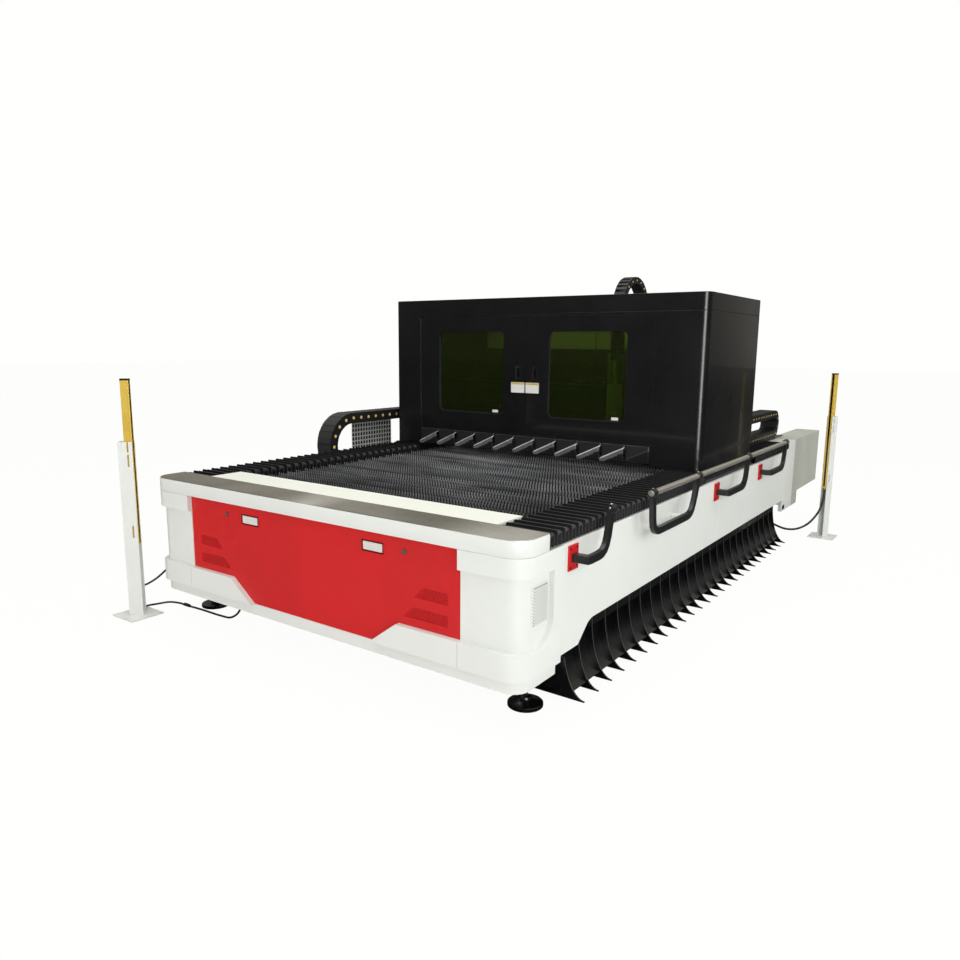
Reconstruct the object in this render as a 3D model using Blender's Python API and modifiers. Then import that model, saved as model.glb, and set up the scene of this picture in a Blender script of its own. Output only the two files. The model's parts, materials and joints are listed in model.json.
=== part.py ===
# Fiber laser cutting machine with a gantry enclosure, a slat bed and two light-curtain posts.
# X runs right along the front, Y runs back into the machine, Z runs up from the floor. Metres.

import math

import bmesh
import bpy
from mathutils import Matrix, Vector

# Driving sizes.
BODY_WIDTH = 2.56
TOP_HEIGHT = 0.837
BED_BACK = 4.42
GANTRY_FRONT = BED_BACK * 0.48009
GANTRY_DEPTH = 1.094
ENCLOSURE_TOP = TOP_HEIGHT * 2.3178

# Gap left between pieces that meet, and a small overlap where shapes of one piece join.
GAP = 0.0004
JOIN = 0.002

HALF = BODY_WIDTH / 2

# Front cap, its stainless plate and the inner plate behind it.
CAP_DEPTH = 0.21
CAP_HEIGHT = 0.077
CAP_BOTTOM = TOP_HEIGHT - CAP_HEIGHT
CORNER = 0.105
CORNER_STEPS = 6
PLATE_THICK = 0.003
CAP_TOP = TOP_HEIGHT - PLATE_THICK - GAP
PLATE_INSET = 0.004
INNER_PLATE_HALF = HALF * 0.791
INNER_PLATE_BACK = 0.42
INNER_PLATE_THICK = 0.025
APRON_THICK = 0.009

# Front cabinet: plinth, skirt, recessed columns and upper band, around the red panel.
PLINTH_BOTTOM = TOP_HEIGHT * 0.19713
SKIRT_BOTTOM = TOP_HEIGHT * 0.27
SKIRT_TOP = TOP_HEIGHT * 0.41398
BAND_BOTTOM = TOP_HEIGHT * 0.79928
BAND_TOP = CAP_BOTTOM - GAP
RECESS = 0.025
CABINET_WALL = 0.03
CABINET_BACK = 0.33
COLUMN_INNER = HALF * 0.7422
COLUMN_RADIUS = CORNER - RECESS
SIDE_POST_FRONT = 0.255
SIDE_CURVE_RISE = 0.118
SIDE_CURVE_RUN = 0.147
SIDE_CURVE_STEPS = 5

# Red panel with its trapezoid foot, vents, latches and locks.
PANEL_THICK = 0.02
PANEL_FRONT = RECESS + 0.004
PANEL_FOOT_TOP_HALF = HALF * 0.46484
PANEL_FOOT_HALF = HALF * 0.3375
VENT_DEPTH = 0.004
VENT_LOW = TOP_HEIGHT * 0.46117
VENT_HEIGHT = TOP_HEIGHT * 0.06213
VENT_STEP = TOP_HEIGHT * 0.12186
VENT_OUTER = HALF * 0.6875
VENT_LOWER_WIDTH = 0.255
VENT_UPPER_WIDTH = 0.190
VENT_LEAN = 0.046
LATCH_WIDTH = 0.125
LATCH_HEIGHT = 0.044
LATCH_X = HALF * 0.34375
LATCH_Z = TOP_HEIGHT * 0.816
LATCH_FRAME = 0.006
LATCH_PADDLE_THICK = 0.005
LATCH_POCKET = 0.014
LATCH_PIN = 0.002
LOCK_X = HALF * 0.49375
LOCK_Z = TOP_HEIGHT * 0.82557
LOCK_RADIUS = 0.0125
LOCK_PROUD = 0.004
LOCK_SLOT = 0.002
ROUND_SIDES = 20

# Louvre panel in the right column.
LOUVRE_Y = 0.107
LOUVRE_WIDTH = 0.134
LOUVRE_BOTTOM = TOP_HEIGHT * 0.53047
LOUVRE_HEIGHT = TOP_HEIGHT * 0.21027
LOUVRE_COUNT = 12
LOUVRE_PLATE = 0.003
LOUVRE_PROUD = 0.007

# Bed frame.
BEAM_INNER = HALF * 0.805
BEAM_SET_IN = 0.0602
BEAM_OUTER = HALF - BEAM_SET_IN
BEAM_BOTTOM = TOP_HEIGHT * 0.5018
BEAM_TOP = TOP_HEIGHT * 0.83632
FRAME_FRONT = 0.10
FRAME_BACK = BED_BACK - 0.04
CROSS_WIDTH = 0.12
CROSS_BOTTOM = TOP_HEIGHT * 0.35842
CROSS_TOP = TOP_HEIGHT * 0.59737
CROSS_COUNT = 4
LEG_HALF = 0.055
PAD_HALF = 0.06
PAD_BOTTOM = TOP_HEIGHT * 0.62127
PAD_TOP = TOP_HEIGHT * 0.71685
PAD_SHARES = (0.05, 0.35, 0.65, 0.95)
LEG_BOTTOM = TOP_HEIGHT * 0.2031
FOOT_X = HALF * 0.8848
FOOT_FRONT_Y = 0.278
FOOT_BACK_Y = BED_BACK - 0.27
FOOT_RADIUS = 0.082
FOOT_HEIGHT = 0.03
FOOT_EDGE = 0.012
STEM_RADIUS = 0.012
NUT_RADIUS = 0.022
NUT_HEIGHT = 0.014

# Slat bed.
SLAT_TOP = TOP_HEIGHT * 0.9558
SLAT_ROWS = 50
SLAT_FIRST = 0.47
SLAT_LAST = BED_BACK - 0.42
SLAT_THICK = 0.004
SLAT_DEPTH = 0.085
TOOTH_COUNT = 5
TOOTH_DEPTH = 0.022
SLAT_HALF = HALF * 0.775
SLAT_RAIL = 0.03
SLAT_RAIL_INSET = 0.06

# Side panels, ribs and curved sheet below them.
SIDE_THICK = 0.018
SIDE_TOP = TOP_HEIGHT * 0.9116
SIDE_BACK = BED_BACK - 0.31
SIDE_LOW = TOP_HEIGHT * 0.30466
SIDE_HIGH = TOP_HEIGHT * 0.41577
SIDE_LOW_END = 0.49
SIDE_RISE_END = 0.585
SIDE_RISE_SOFT = 0.04
SIDE_JOINT_Y = SIDE_BACK * 0.584
GROOVE_WIDTH = 0.004
GROOVE_DEPTH = 0.003
RIB_COUNT = 26
RIB_FIRST = 0.37
RIB_LAST = BED_BACK - 0.55
RIB_THICK = 0.008
RIB_FOOT = 0.045
RIB_REACH = 0.115
RIB_ROOT = HALF - 0.011
RIB_INNER = HALF - 0.16
RIB_TIP = 0.006
RIB_STEPS = 4
SHEET_STEPS = 3
SHEET_THICK = 0.008
SHEET_SET_BACK = 0.04
SHEET_SHARE = 0.88
STRIP_DEPTH = 0.05

# Guide rails and racks under the bellows.
RAIL_X = HALF * 0.898
RAIL_WIDTH = 0.035
RAIL_HEIGHT = 0.044
RACK_X = HALF * 0.855
RACK_WIDTH = 0.03
RACK_HEIGHT = 0.03
RAIL_PLATE = 0.006

# Bellows.
PLEAT = 0.064
PLEAT_DEPTH = 0.012
BELLOWS_WALL = 0.006
BELLOWS_INNER = INNER_PLATE_HALF + 0.003
BELLOWS_BOTTOM = TOP_HEIGHT * 0.91995

# Gantry: saddles, columns and beam.
GANTRY_BACK = GANTRY_FRONT + GANTRY_DEPTH
SADDLE_INNER = HALF * 0.79
SADDLE_OUTER = HALF - 0.022
SADDLE_TOP = TOP_HEIGHT * 1.00956
COLUMN_X_IN = HALF * 0.79
COLUMN_X_OUT = HALF * 0.90
BEAM_FRONT = GANTRY_FRONT + GANTRY_DEPTH * 0.54
BEAM_BACK = GANTRY_FRONT + GANTRY_DEPTH * 0.75
GANTRY_BEAM_BOTTOM = TOP_HEIGHT * 1.26643
GANTRY_BEAM_TOP = TOP_HEIGHT * 1.57706
CROSS_RAIL = 0.03
CROSS_RAIL_PROUD = 0.025
CROSS_RAIL_INSET = 0.035
COLUMN_PROUD = 0.02

# Enclosure, lid, doors and windows.
SHELL_HALF = HALF * 0.974
SHELL_WALL = 0.03
SHELL_CORNER = 0.045
SHELL_CORNER_STEPS = 4
SHELL_BOTTOM = SADDLE_TOP + GAP
LID_HEIGHT = 0.11
LID_BOTTOM = ENCLOSURE_TOP - LID_HEIGHT
LID_SKIN = 0.006
SLOT_HALF = SHELL_HALF * 0.76
SLOT_FRONT = GANTRY_FRONT + GANTRY_DEPTH * 0.36
SLOT_BACK = GANTRY_BACK - GANTRY_DEPTH * 0.17
DOOR_BOTTOM = TOP_HEIGHT * 1.19474
DOOR_TOP = LID_BOTTOM - 0.014
DOOR_LEFT = -SHELL_HALF * 0.798
DOOR_RIGHT = SHELL_HALF * 0.728
DOOR_MEET = (DOOR_LEFT + DOOR_RIGHT) / 2
DOOR_THICK = 0.028
DOOR_GAP = 0.002
WINDOW_MARGIN = 0.183
WINDOW_BOTTOM = TOP_HEIGHT * 1.33214
WINDOW_TOP = TOP_HEIGHT * 2.043
WINDOW_RADIUS = 0.04
WINDOW_STEPS = 4
WINDOW_CLEAR = 0.0006
PANE_THICK = 0.006
PANE_SET = 0.010
HANDLE_HEIGHT = 0.096
HANDLE_BAR = 0.014
HANDLE_REACH = 0.032
HANDLE_BOTTOM = TOP_HEIGHT * 1.6368
HANDLE_OFFSET = 0.069
HANDLE_WIDTH = 0.018

# Flap curtain under the doors.
FLAP_COUNT = 11
FLAP_TOP = DOOR_BOTTOM - DOOR_GAP
FLAP_BOTTOM = TOP_HEIGHT * 1.01912
FLAP_THICK = 0.003
FLAP_REACH = 0.06
FLAP_RAIL = 0.028
FLAP_RAIL_DEPTH = 0.02

# Cross carriage, cutting head and its chain arch.
HEAD_X = 0.44
CARRIAGE_HALF = 0.11
CARRIAGE_THICK = 0.03
CARRIAGE_BOTTOM = TOP_HEIGHT * 1.21864
HOOK_BACK = GANTRY_FRONT + GANTRY_DEPTH * 0.80256
HOOK_THICK = 0.0292
SLIDE_HALF = 0.06
SLIDE_THICK = 0.05
SLIDE_BOTTOM = TOP_HEIGHT * 1.3381
SLIDE_TOP = TOP_HEIGHT * 1.9116
HEAD_HALF = 0.045
HEAD_DEPTH = 0.09
HEAD_BOTTOM = TOP_HEIGHT * 1.21864
HEAD_TOP = TOP_HEIGHT * 1.816
NECK_RADIUS = 0.028
NECK_BOTTOM = TOP_HEIGHT * 1.08722
NOZZLE_RADIUS = 0.008
NOZZLE_BOTTOM = TOP_HEIGHT * 1.0215
MOTOR_HALF = 0.045
MOTOR_HEIGHT = 0.19
DRIVE_HALF = 0.055
DRIVE_HEIGHT = 0.30
DRIVE_X = HALF * 0.845
DRIVE_Y = GANTRY_FRONT + GANTRY_DEPTH * 0.3

# Drag chains: pitch of a link, height across the bend and width along its axis.
LINK = 0.082
LINK_HEIGHT = 0.080
CHAIN_WIDTH = 0.143
LINK_STEP = 0.006
NARROW_SHARE = 0.35
SIDE_CHAIN_OUTER = -HALF - 0.173
SIDE_CHAIN_RADIUS = 0.20
SIDE_CHAIN_FRONT = GANTRY_FRONT * 0.70217
SIDE_CHAIN_FIXED = GANTRY_FRONT * 1.12158
SIDE_CHAIN_HELD = GANTRY_FRONT + GANTRY_DEPTH * 0.52834
SIDE_CHAIN_LOW = TOP_HEIGHT * 0.78256
TRAY_WALL = 0.006
TRAY_HEIGHT = 0.075
TRAY_FRONT = GANTRY_FRONT * 0.29218
TRAY_BACK = GANTRY_FRONT * 1.15928
GUARD_FRONT = GANTRY_FRONT * 0.86711
GUARD_BACK = GANTRY_FRONT * 1.08388
GUARD_TOP = TOP_HEIGHT * 1.21864
GUARD_THICK = 0.004
GUARD_HOLE = 0.012
GUARD_PITCH = 0.045
GUARD_COLUMNS = 10
GUARD_ROWS = 6
HOSE_OUTER = HALF * 0.875
HOSE_WIDTH = 0.14
HOSE_HEIGHT = 0.066
HOSE_RADIUS = 0.085
HOSE_BACK = BED_BACK * 1.00905
HOSE_FIXED = GANTRY_BACK + (BED_BACK - GANTRY_BACK) * 0.23588
HOSE_STOP = 0.02
HOSE_TRAY_BOTTOM = TOP_HEIGHT + 0.003
HOSE_TRAY_THICK = 0.003
HOSE_TRAY_BACK = BED_BACK * 1.04525
CROSS_CHAIN_RADIUS = 0.08
CROSS_CHAIN_WIDTH = 0.09
CROSS_CHAIN_HEIGHT = 0.05
CROSS_CHAIN_BEND = 0.78
CROSS_CHAIN_FIXED = 0.02
LIFT_CHAIN_WIDTH = 0.085
LIFT_CHAIN_HEIGHT = 0.055
LIFT_CHAIN_RADIUS = 0.195
LIFT_CHAIN_TOP = TOP_HEIGHT * 2.51493

# Rear cover and rear cabinet.
REAR_TOP = TOP_HEIGHT * 0.99164
REAR_BOTTOM = TOP_HEIGHT * 0.2987
REAR_WALL = 0.03
CABINET_X = HALF - 0.21
CABINET_END = BED_BACK + 0.93
CABINET_LOW = TOP_HEIGHT * 0.4301
CABINET_TOP = TOP_HEIGHT * 0.9988
CABINET_FOOT_END = BED_BACK + 0.19

# Handrail on the right side.
TUBE_X = HALF + 0.08
TUBE_Z = TOP_HEIGHT * 1.05376
TUBE_RADIUS = 0.016
TUBE_FRONT = BED_BACK * 0.24434
TUBE_BACK = BED_BACK * 0.85294
ARM_HEIGHT = 0.038
ARM_THICK = 0.024
ARM_LOW = TOP_HEIGHT * 0.82437
ARM_BEND = 0.07
ARM_STEPS = 4
ARM_PLATES_Y = (BED_BACK * 0.09276, BED_BACK * 0.53167, BED_BACK * 0.75792)
ARM_TOPS_Y = (BED_BACK * 0.14027, BED_BACK * 0.61991, BED_BACK * 0.84615)
ARM_LEAN = 0.05
RED_WIDTH = 0.085
RED_HEIGHT = 0.115
RED_THICK = 0.008
LOOP_FRONT = BED_BACK * 0.24434
LOOP_BACK = BED_BACK * 0.39819
LOOP_LEAN = 0.09
SPACER_RADIUS = 0.014

# Light-curtain posts.
POST_BASE = 0.205
POST_BASE_THICK = 0.008
POST_DEPTH = 0.08
POST_WIDTH = 0.052
POST_WALL = 0.004
POST_TOP = 1.045
LEFT_POST = (-HALF - 0.08, -0.10)
RIGHT_POST = (HALF + 0.265, BED_BACK + 0.07)
LEFT_TURN = math.radians(40)
RIGHT_TURN = math.radians(-110)
CURTAIN_BOTTOM = 0.435
CURTAIN_TOP = 1.405
CURTAIN_WIDTH = 0.036
CURTAIN_DEPTH = 0.046
CURTAIN_FRONT = 0.040
SLOT_WIDTH = 0.010
SLOT_LONG = 0.07
POST_SLOTS_Z = (0.48, 0.90, 0.985)

# Cables of the two curtains.
CABLE_RADIUS = 0.006
GLAND_RADIUS = 0.011
GLAND_LENGTH = 0.016
GLAND_SIDES = 12
FRAME_GLAND = (-HALF + 0.56, FRAME_FRONT + 0.06)
REAR_GLAND = (HALF - 0.32, FRAME_BACK - 0.06)
SIDE_GLAND = (0.1163, TOP_HEIGHT * 0.31302)
POST_GLAND_UPPER = 0.16
POST_GLAND_LOWER = 0.035
CABLE_STEPS = 4
CABLE_STUB = 0.014
# Route points between the two ends, from the machine's front left or rear right corner.
UPPER_ROUTE = (
    (-0.1145, -0.002, 0.163), (-0.1055, 0.0555, 0.188), (-0.066, 0.1005, 0.24),
)
LOWER_ROUTE = (
    (-0.121, -0.02, 0.024), (-0.136, 0.012, 0.0165), (-0.145, 0.06, 0.008),
    (-0.118, 0.13, 0.007), (-0.048, 0.157, 0.007), (0.026, 0.158, 0.007), (0.169, 0.166, 0.007),
    (0.34, 0.168, 0.007), (0.45, 0.165, 0.02), (0.535, 0.162, 0.08), (0.558, 0.16, 0.17),
)
REAR_ROUTE = (
    (0.2535, 0.038, 0.335), (0.2445, 0.0136, 0.268), (0.22, -0.014, 0.2),
    (0.165, -0.05, 0.122), (0.09, -0.08, 0.074), (0.006, -0.098, 0.062), (-0.08, -0.102, 0.082),
    (-0.18, -0.101, 0.126), (-0.27, -0.1, 0.172), (-0.31, -0.1, 0.215),
)

WHITE = (0.80, 0.81, 0.79, 1.0)
CREAM = (0.82, 0.82, 0.76, 1.0)
STEEL = (0.45, 0.44, 0.41, 1.0)
RED = (0.60, 0.01, 0.01, 1.0)
BLACK = (0.012, 0.012, 0.013, 1.0)
GREY = (0.18, 0.18, 0.18, 1.0)
YELLOW = (0.75, 0.50, 0.08, 1.0)
GREEN = (0.03, 0.06, 0.01, 1.0)

for old in list(bpy.data.objects):
    bpy.data.objects.remove(old)

MACHINE = bpy.data.collections.new("fiber_laser_cutting_machine")
CUTTERS = bpy.data.collections.new("cutters")
for group in (MACHINE, CUTTERS):
    bpy.context.scene.collection.children.link(group)
CUTTERS.hide_render = True


class Shape:
    """Closed shells that don't touch each other, gathered in one mesh."""

    def __init__(self):
        self.bm = bmesh.new()

    def block(self, low, high):
        middle = (Vector(low) + Vector(high)) / 2
        size = Vector(high) - Vector(low)
        place = Matrix.Translation(middle) @ Matrix.Diagonal((*size, 1))
        bmesh.ops.create_cube(self.bm, size=1, matrix=place)
        return self

    def drum(self, centre, axis, radius, length, sides=ROUND_SIDES, tip=None):
        turn = Vector((0, 0, 1)).rotation_difference(Vector(axis)).to_matrix().to_4x4()
        place = Matrix.Translation(centre) @ turn @ Matrix.Translation((0, 0, length / 2))
        top = radius if tip is None else tip
        bmesh.ops.create_cone(
            self.bm, cap_ends=True, segments=sides,
            radius1=radius, radius2=top, depth=length, matrix=place,
        )
        return self

    def prism(self, outline, axis, start, end):
        points = [set_along(axis, start, a, b) for a, b in outline]
        face = self.bm.faces.new([self.bm.verts.new(p) for p in points])
        grown = bmesh.ops.extrude_face_region(self.bm, geom=[face])["geom"]
        corners = [g for g in grown if isinstance(g, bmesh.types.BMVert)]
        push = Vector(set_along(axis, end - start, 0, 0))
        bmesh.ops.translate(self.bm, verts=corners, vec=push)
        return self

    def loft(self, rings):
        rows = [[self.bm.verts.new(p) for p in ring] for ring in rings]
        for near, far in zip(rows, rows[1:]):
            for i in range(len(near)):
                j = (i + 1) % len(near)
                self.bm.faces.new((near[i], near[j], far[j], far[i]))
        self.bm.faces.new(rows[0])
        self.bm.faces.new(rows[-1])
        return self

    def moved(self, matrix):
        bmesh.ops.transform(self.bm, matrix=matrix, verts=self.bm.verts)
        return self

    def mirrored(self):
        other = Shape()
        other.bm = self.bm.copy()
        bmesh.ops.scale(other.bm, vec=(-1, 1, 1), verts=other.bm.verts)
        return other

    def mesh(self, name):
        bmesh.ops.recalc_face_normals(self.bm, faces=self.bm.faces)
        data = bpy.data.meshes.new(name)
        self.bm.to_mesh(data)
        return data


def set_along(axis, along, a, b):
    return {"X": (along, a, b), "Y": (a, along, b), "Z": (a, b, along)}[axis]


def node(name, colour, shape, join=(), cut=(), bevel=None, pivot=None):
    """One piece: shape, then each shape of join added to it and each of cut taken away."""
    obj = bpy.data.objects.new(name, shape.mesh(name))
    MACHINE.objects.link(obj)
    finish = bpy.data.materials.new(name)
    finish.use_nodes = True
    finish.node_tree.nodes["Principled BSDF"].inputs["Base Color"].default_value = colour
    obj.data.materials.append(finish)
    for way, shapes in (("UNION", join), ("DIFFERENCE", cut)):
        for number, other in enumerate(shapes):
            title = f"{name}_{way.lower()}_{number}"
            helper = bpy.data.objects.new(title, other.mesh(title))
            CUTTERS.objects.link(helper)
            helper.hide_render = True
            helper.display_type = "WIRE"
            change = obj.modifiers.new(title, "BOOLEAN")
            change.operation = way
            change.solver = "EXACT"
            change.object = helper
    if bevel:
        soften = obj.modifiers.new("edges", "BEVEL")
        soften.width = bevel
        soften.segments = 2
        soften.limit_method = "ANGLE"
    if pivot:
        obj.data.transform(Matrix.Translation(-Vector(pivot)))
        obj.location = pivot
    return obj


def arc(centre, radius_a, radius_b, start, end, steps):
    """Points of an ellipse arc, from start to end in degrees."""
    found = []
    for i in range(steps + 1):
        angle = math.radians(start + (end - start) * i / steps)
        found.append((centre[0] + radius_a * math.cos(angle), centre[1] + radius_b * math.sin(angle)))
    return found


def rounded(low, high, radius, steps):
    """Rectangle with four rounded corners, as an outline."""
    outline = []
    corners = (
        (high[0] - radius, high[1] - radius, 0),
        (low[0] + radius, high[1] - radius, 90),
        (low[0] + radius, low[1] + radius, 180),
        (high[0] - radius, low[1] + radius, 270),
    )
    for a, b, start in corners:
        outline += arc((a, b), radius, radius, start, start + 90, steps)
    return outline


def front_outline(inset, radius, back):
    """Plan outline of the front: straight back edge and rounded front corners."""
    edge = HALF - inset
    points = [(edge, back), (-edge, back)]
    points += arc((-edge + radius, inset + radius), radius, radius, 180, 270, CORNER_STEPS)
    points += arc((edge - radius, inset + radius), radius, radius, 270, 360, CORNER_STEPS)
    return points


def strip(points, thick):
    """Outline of a bent strip: points is its middle line, in two dimensions."""
    left, right = [], []
    for i, point in enumerate(points):
        before = Vector(points[max(i - 1, 0)])
        after = Vector(points[min(i + 1, len(points) - 1)])
        way = (after - before).normalized()
        side = Vector((-way.y, way.x)) * thick / 2
        left.append(tuple(Vector(point) + side))
        right.append(tuple(Vector(point) - side))
    return left + right[::-1]


def chain_shape(path, height, width, axis, low, pitch=LINK):
    """Drag chain along a path given in two dimensions: wide and narrow link parts in turn."""
    lengths = [0.0]
    for a, b in zip(path, path[1:]):
        lengths.append(lengths[-1] + (Vector(b) - Vector(a)).length)
    count = max(2, round(lengths[-1] / pitch))
    stops = []
    for i in range(count):
        start = lengths[-1] * i / count
        part = lengths[-1] / count
        turn = part * NARROW_SHARE
        stops += [(start, 0), (start + part - turn, 0)]
        if i < count - 1:
            stops += [(start + part - turn + LINK_STEP / 4, 1), (start + part - LINK_STEP / 4, 1)]
    stops.append((lengths[-1], 0))
    rings = []
    for where, narrow in stops:
        point, way = along(path, lengths, where)
        side = Vector((-way.y, way.x))
        half = height / 2 - (LINK_STEP / 2 if narrow else 0)
        trim = LINK_STEP if narrow else 0
        ring = []
        for flank, face in ((-1, trim), (1, trim), (1, width - trim), (-1, width - trim)):
            spot = point + side * half * flank
            ring.append(set_along(axis, low + face, spot.x, spot.y))
        rings.append(ring)
    return Shape().loft(rings)


def along(path, lengths, where):
    for i in range(len(path) - 1):
        if where <= lengths[i + 1] or i == len(path) - 2:
            a, b = Vector(path[i]), Vector(path[i + 1])
            share = (where - lengths[i]) / (lengths[i + 1] - lengths[i])
            return a.lerp(b, min(max(share, 0), 1)), (b - a).normalized()
    return Vector(path[-1]), Vector((1, 0))


# Bed frame: two side beams, cross members and four legs.
def beam_pair():
    pair = Shape()
    for side in (-1, 1):
        edges = sorted((side * BEAM_INNER, side * BEAM_OUTER))
        pair.block((edges[0], FRAME_FRONT, BEAM_BOTTOM), (edges[1], FRAME_BACK, BEAM_TOP))
    return pair


cross = Shape()
for number in range(CROSS_COUNT):
    span = FRAME_BACK - FRAME_FRONT - CROSS_WIDTH
    start = FRAME_FRONT + span * number / (CROSS_COUNT - 1)
    cross.block(
        (-BEAM_INNER - JOIN, start, CROSS_BOTTOM),
        (BEAM_INNER + JOIN, start + CROSS_WIDTH, CROSS_TOP),
    )
legs = Shape()
for side in (-1, 1):
    for y in (FOOT_FRONT_Y, FOOT_BACK_Y):
        legs.block(
            (side * FOOT_X - LEG_HALF, y - LEG_HALF, LEG_BOTTOM),
            (side * FOOT_X + LEG_HALF, y + LEG_HALF, BEAM_BOTTOM + JOIN * 10),
        )
pads = Shape()
for side in (-1, 1):
    edges = sorted((side * (BEAM_OUTER - JOIN), side * (HALF - SIDE_THICK - GAP)))
    for share in PAD_SHARES:
        y = CABINET_BACK + (SIDE_BACK - CABINET_BACK) * share
        pads.block((edges[0], y - PAD_HALF, PAD_BOTTOM), (edges[1], y + PAD_HALF, PAD_TOP))
glands = Shape()
for x, y in (FRAME_GLAND, REAR_GLAND):
    glands.drum(
        (x, y, CROSS_BOTTOM - GLAND_LENGTH), (0, 0, 1), GLAND_RADIUS, GLAND_LENGTH + JOIN,
        sides=GLAND_SIDES,
    )
node("bed_frame", GREY, beam_pair(), join=(cross, legs, pads, glands))

# Levelling feet: a round pad, a stem and a nut under each leg.
for title, x, y in (
    ("foot_front_left", -FOOT_X, FOOT_FRONT_Y),
    ("foot_front_right", FOOT_X, FOOT_FRONT_Y),
    ("foot_rear_left", -FOOT_X, FOOT_BACK_Y),
    ("foot_rear_right", FOOT_X, FOOT_BACK_Y),
):
    pad = Shape().drum((x, y, 0), (0, 0, 1), FOOT_RADIUS, FOOT_HEIGHT - FOOT_EDGE)
    slope = Shape().drum(
        (x, y, FOOT_HEIGHT - FOOT_EDGE - JOIN / 2), (0, 0, 1),
        FOOT_RADIUS - JOIN / 4, FOOT_EDGE, tip=STEM_RADIUS * 2,
    )
    stem_low = FOOT_HEIGHT - FOOT_EDGE
    stem = Shape().drum((x, y, stem_low), (0, 0, 1), STEM_RADIUS, LEG_BOTTOM - GAP - stem_low)
    nut = Shape().drum(
        (x, y, LEG_BOTTOM - GAP - NUT_HEIGHT), (0, 0, 1), NUT_RADIUS, NUT_HEIGHT, sides=6,
    )
    node(title, BLACK, pad, join=(slope, stem, nut))

# Slat bed: toothed slats across the bed, resting on two long rails.
SLAT_LOW = SLAT_TOP - SLAT_DEPTH
outline = [(SLAT_HALF, SLAT_LOW), (SLAT_HALF, SLAT_TOP - TOOTH_DEPTH)]
for number in range(TOOTH_COUNT):
    pitch = 2 * SLAT_HALF / TOOTH_COUNT
    right = SLAT_HALF - pitch * number
    outline.append((right - pitch / 2, SLAT_TOP))
    outline.append((right - pitch, SLAT_TOP - TOOTH_DEPTH))
outline.append((-SLAT_HALF, SLAT_LOW))
slats = Shape()
for number in range(SLAT_ROWS):
    y = SLAT_FIRST + (SLAT_LAST - SLAT_FIRST) * number / (SLAT_ROWS - 1)
    slats.prism(outline, "Y", y - SLAT_THICK / 2, y + SLAT_THICK / 2)
slat_rails = Shape()
for side in (-1, 1):
    middle = side * (SLAT_HALF - SLAT_RAIL_INSET)
    slat_rails.block(
        (middle - SLAT_RAIL / 2, SLAT_FIRST - SLAT_RAIL, CROSS_TOP + GAP),
        (middle + SLAT_RAIL / 2, SLAT_LAST + SLAT_RAIL, SLAT_LOW + JOIN * 5),
    )
node("slat_bed", GREY, slat_rails, join=(slats,))

# Front cap, stainless plate on it and the inner plate behind.
cap = Shape().prism(front_outline(0, CORNER, CAP_DEPTH), "Z", CAP_BOTTOM, CAP_TOP)
node("front_cap", WHITE, cap, bevel=PLATE_THICK)
top_plate = Shape().prism(
    front_outline(PLATE_INSET, CORNER - PLATE_INSET, CAP_DEPTH), "Z", CAP_TOP + GAP, TOP_HEIGHT
)
node("front_top_plate", STEEL, top_plate)
inner_plate = Shape().block(
    (-INNER_PLATE_HALF, CAP_DEPTH + GAP, TOP_HEIGHT - INNER_PLATE_THICK),
    (INNER_PLATE_HALF, INNER_PLATE_BACK, TOP_HEIGHT),
)
apron = Shape().block(
    (-INNER_PLATE_HALF + PLATE_INSET, CAP_DEPTH + GAP * 2, CROSS_TOP + GAP),
    (INNER_PLATE_HALF - PLATE_INSET, CAP_DEPTH + APRON_THICK, TOP_HEIGHT - INNER_PLATE_THICK + JOIN),
)
node("inner_plate", CREAM, inner_plate, join=(apron,))


# Front cabinet: recessed wall with rounded corners, a proud skirt and upper band, and the posts at its rear.
def wall_outline(inset, radius, wall, back):
    outer = front_outline(inset, radius, back)
    inner = front_outline(inset + wall, max(radius - wall, CORNER / 4), back)
    return outer[1:] + outer[:1] + (inner[1:] + inner[:1])[::-1]


def panel_outline(less, top):
    return [
        (-COLUMN_INNER + less, top),
        (-COLUMN_INNER + less, SKIRT_TOP + less),
        (-PANEL_FOOT_TOP_HALF + less, SKIRT_TOP + less),
        (-PANEL_FOOT_HALF + less, SKIRT_BOTTOM + less),
        (PANEL_FOOT_HALF - less, SKIRT_BOTTOM + less),
        (PANEL_FOOT_TOP_HALF - less, SKIRT_TOP + less),
        (COLUMN_INNER - less, SKIRT_TOP + less),
        (COLUMN_INNER - less, top),
    ]


core = Shape().prism(
    wall_outline(RECESS, COLUMN_RADIUS, CABINET_WALL, CABINET_BACK - JOIN * 2),
    "Z", PLINTH_BOTTOM, BAND_TOP - JOIN,
)
band_wall = RECESS + CABINET_WALL / 2
skirt = Shape().prism(
    wall_outline(0, CORNER, band_wall, CABINET_BACK - JOIN), "Z", SKIRT_BOTTOM, SKIRT_TOP
)
band = Shape().prism(
    wall_outline(0, CORNER, band_wall, CABINET_BACK - JOIN), "Z", BAND_BOTTOM, BAND_TOP
)
post_outline = [(CABINET_BACK, BAND_TOP - JOIN / 2), (SIDE_POST_FRONT, BAND_TOP - JOIN / 2)]
post_outline += arc(
    (SIDE_POST_FRONT - SIDE_CURVE_RUN, SKIRT_TOP - JOIN + SIDE_CURVE_RISE),
    SIDE_CURVE_RUN, SIDE_CURVE_RISE, 0, -90, SIDE_CURVE_STEPS,
)
post_outline += [
    (SIDE_POST_FRONT - SIDE_CURVE_RUN, SKIRT_TOP - JOIN * 2),
    (CABINET_BACK, SKIRT_TOP - JOIN * 2),
]
side_post = Shape().prism(post_outline, "X", HALF - RECESS - CABINET_WALL / 3, HALF - JOIN / 4)
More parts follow.
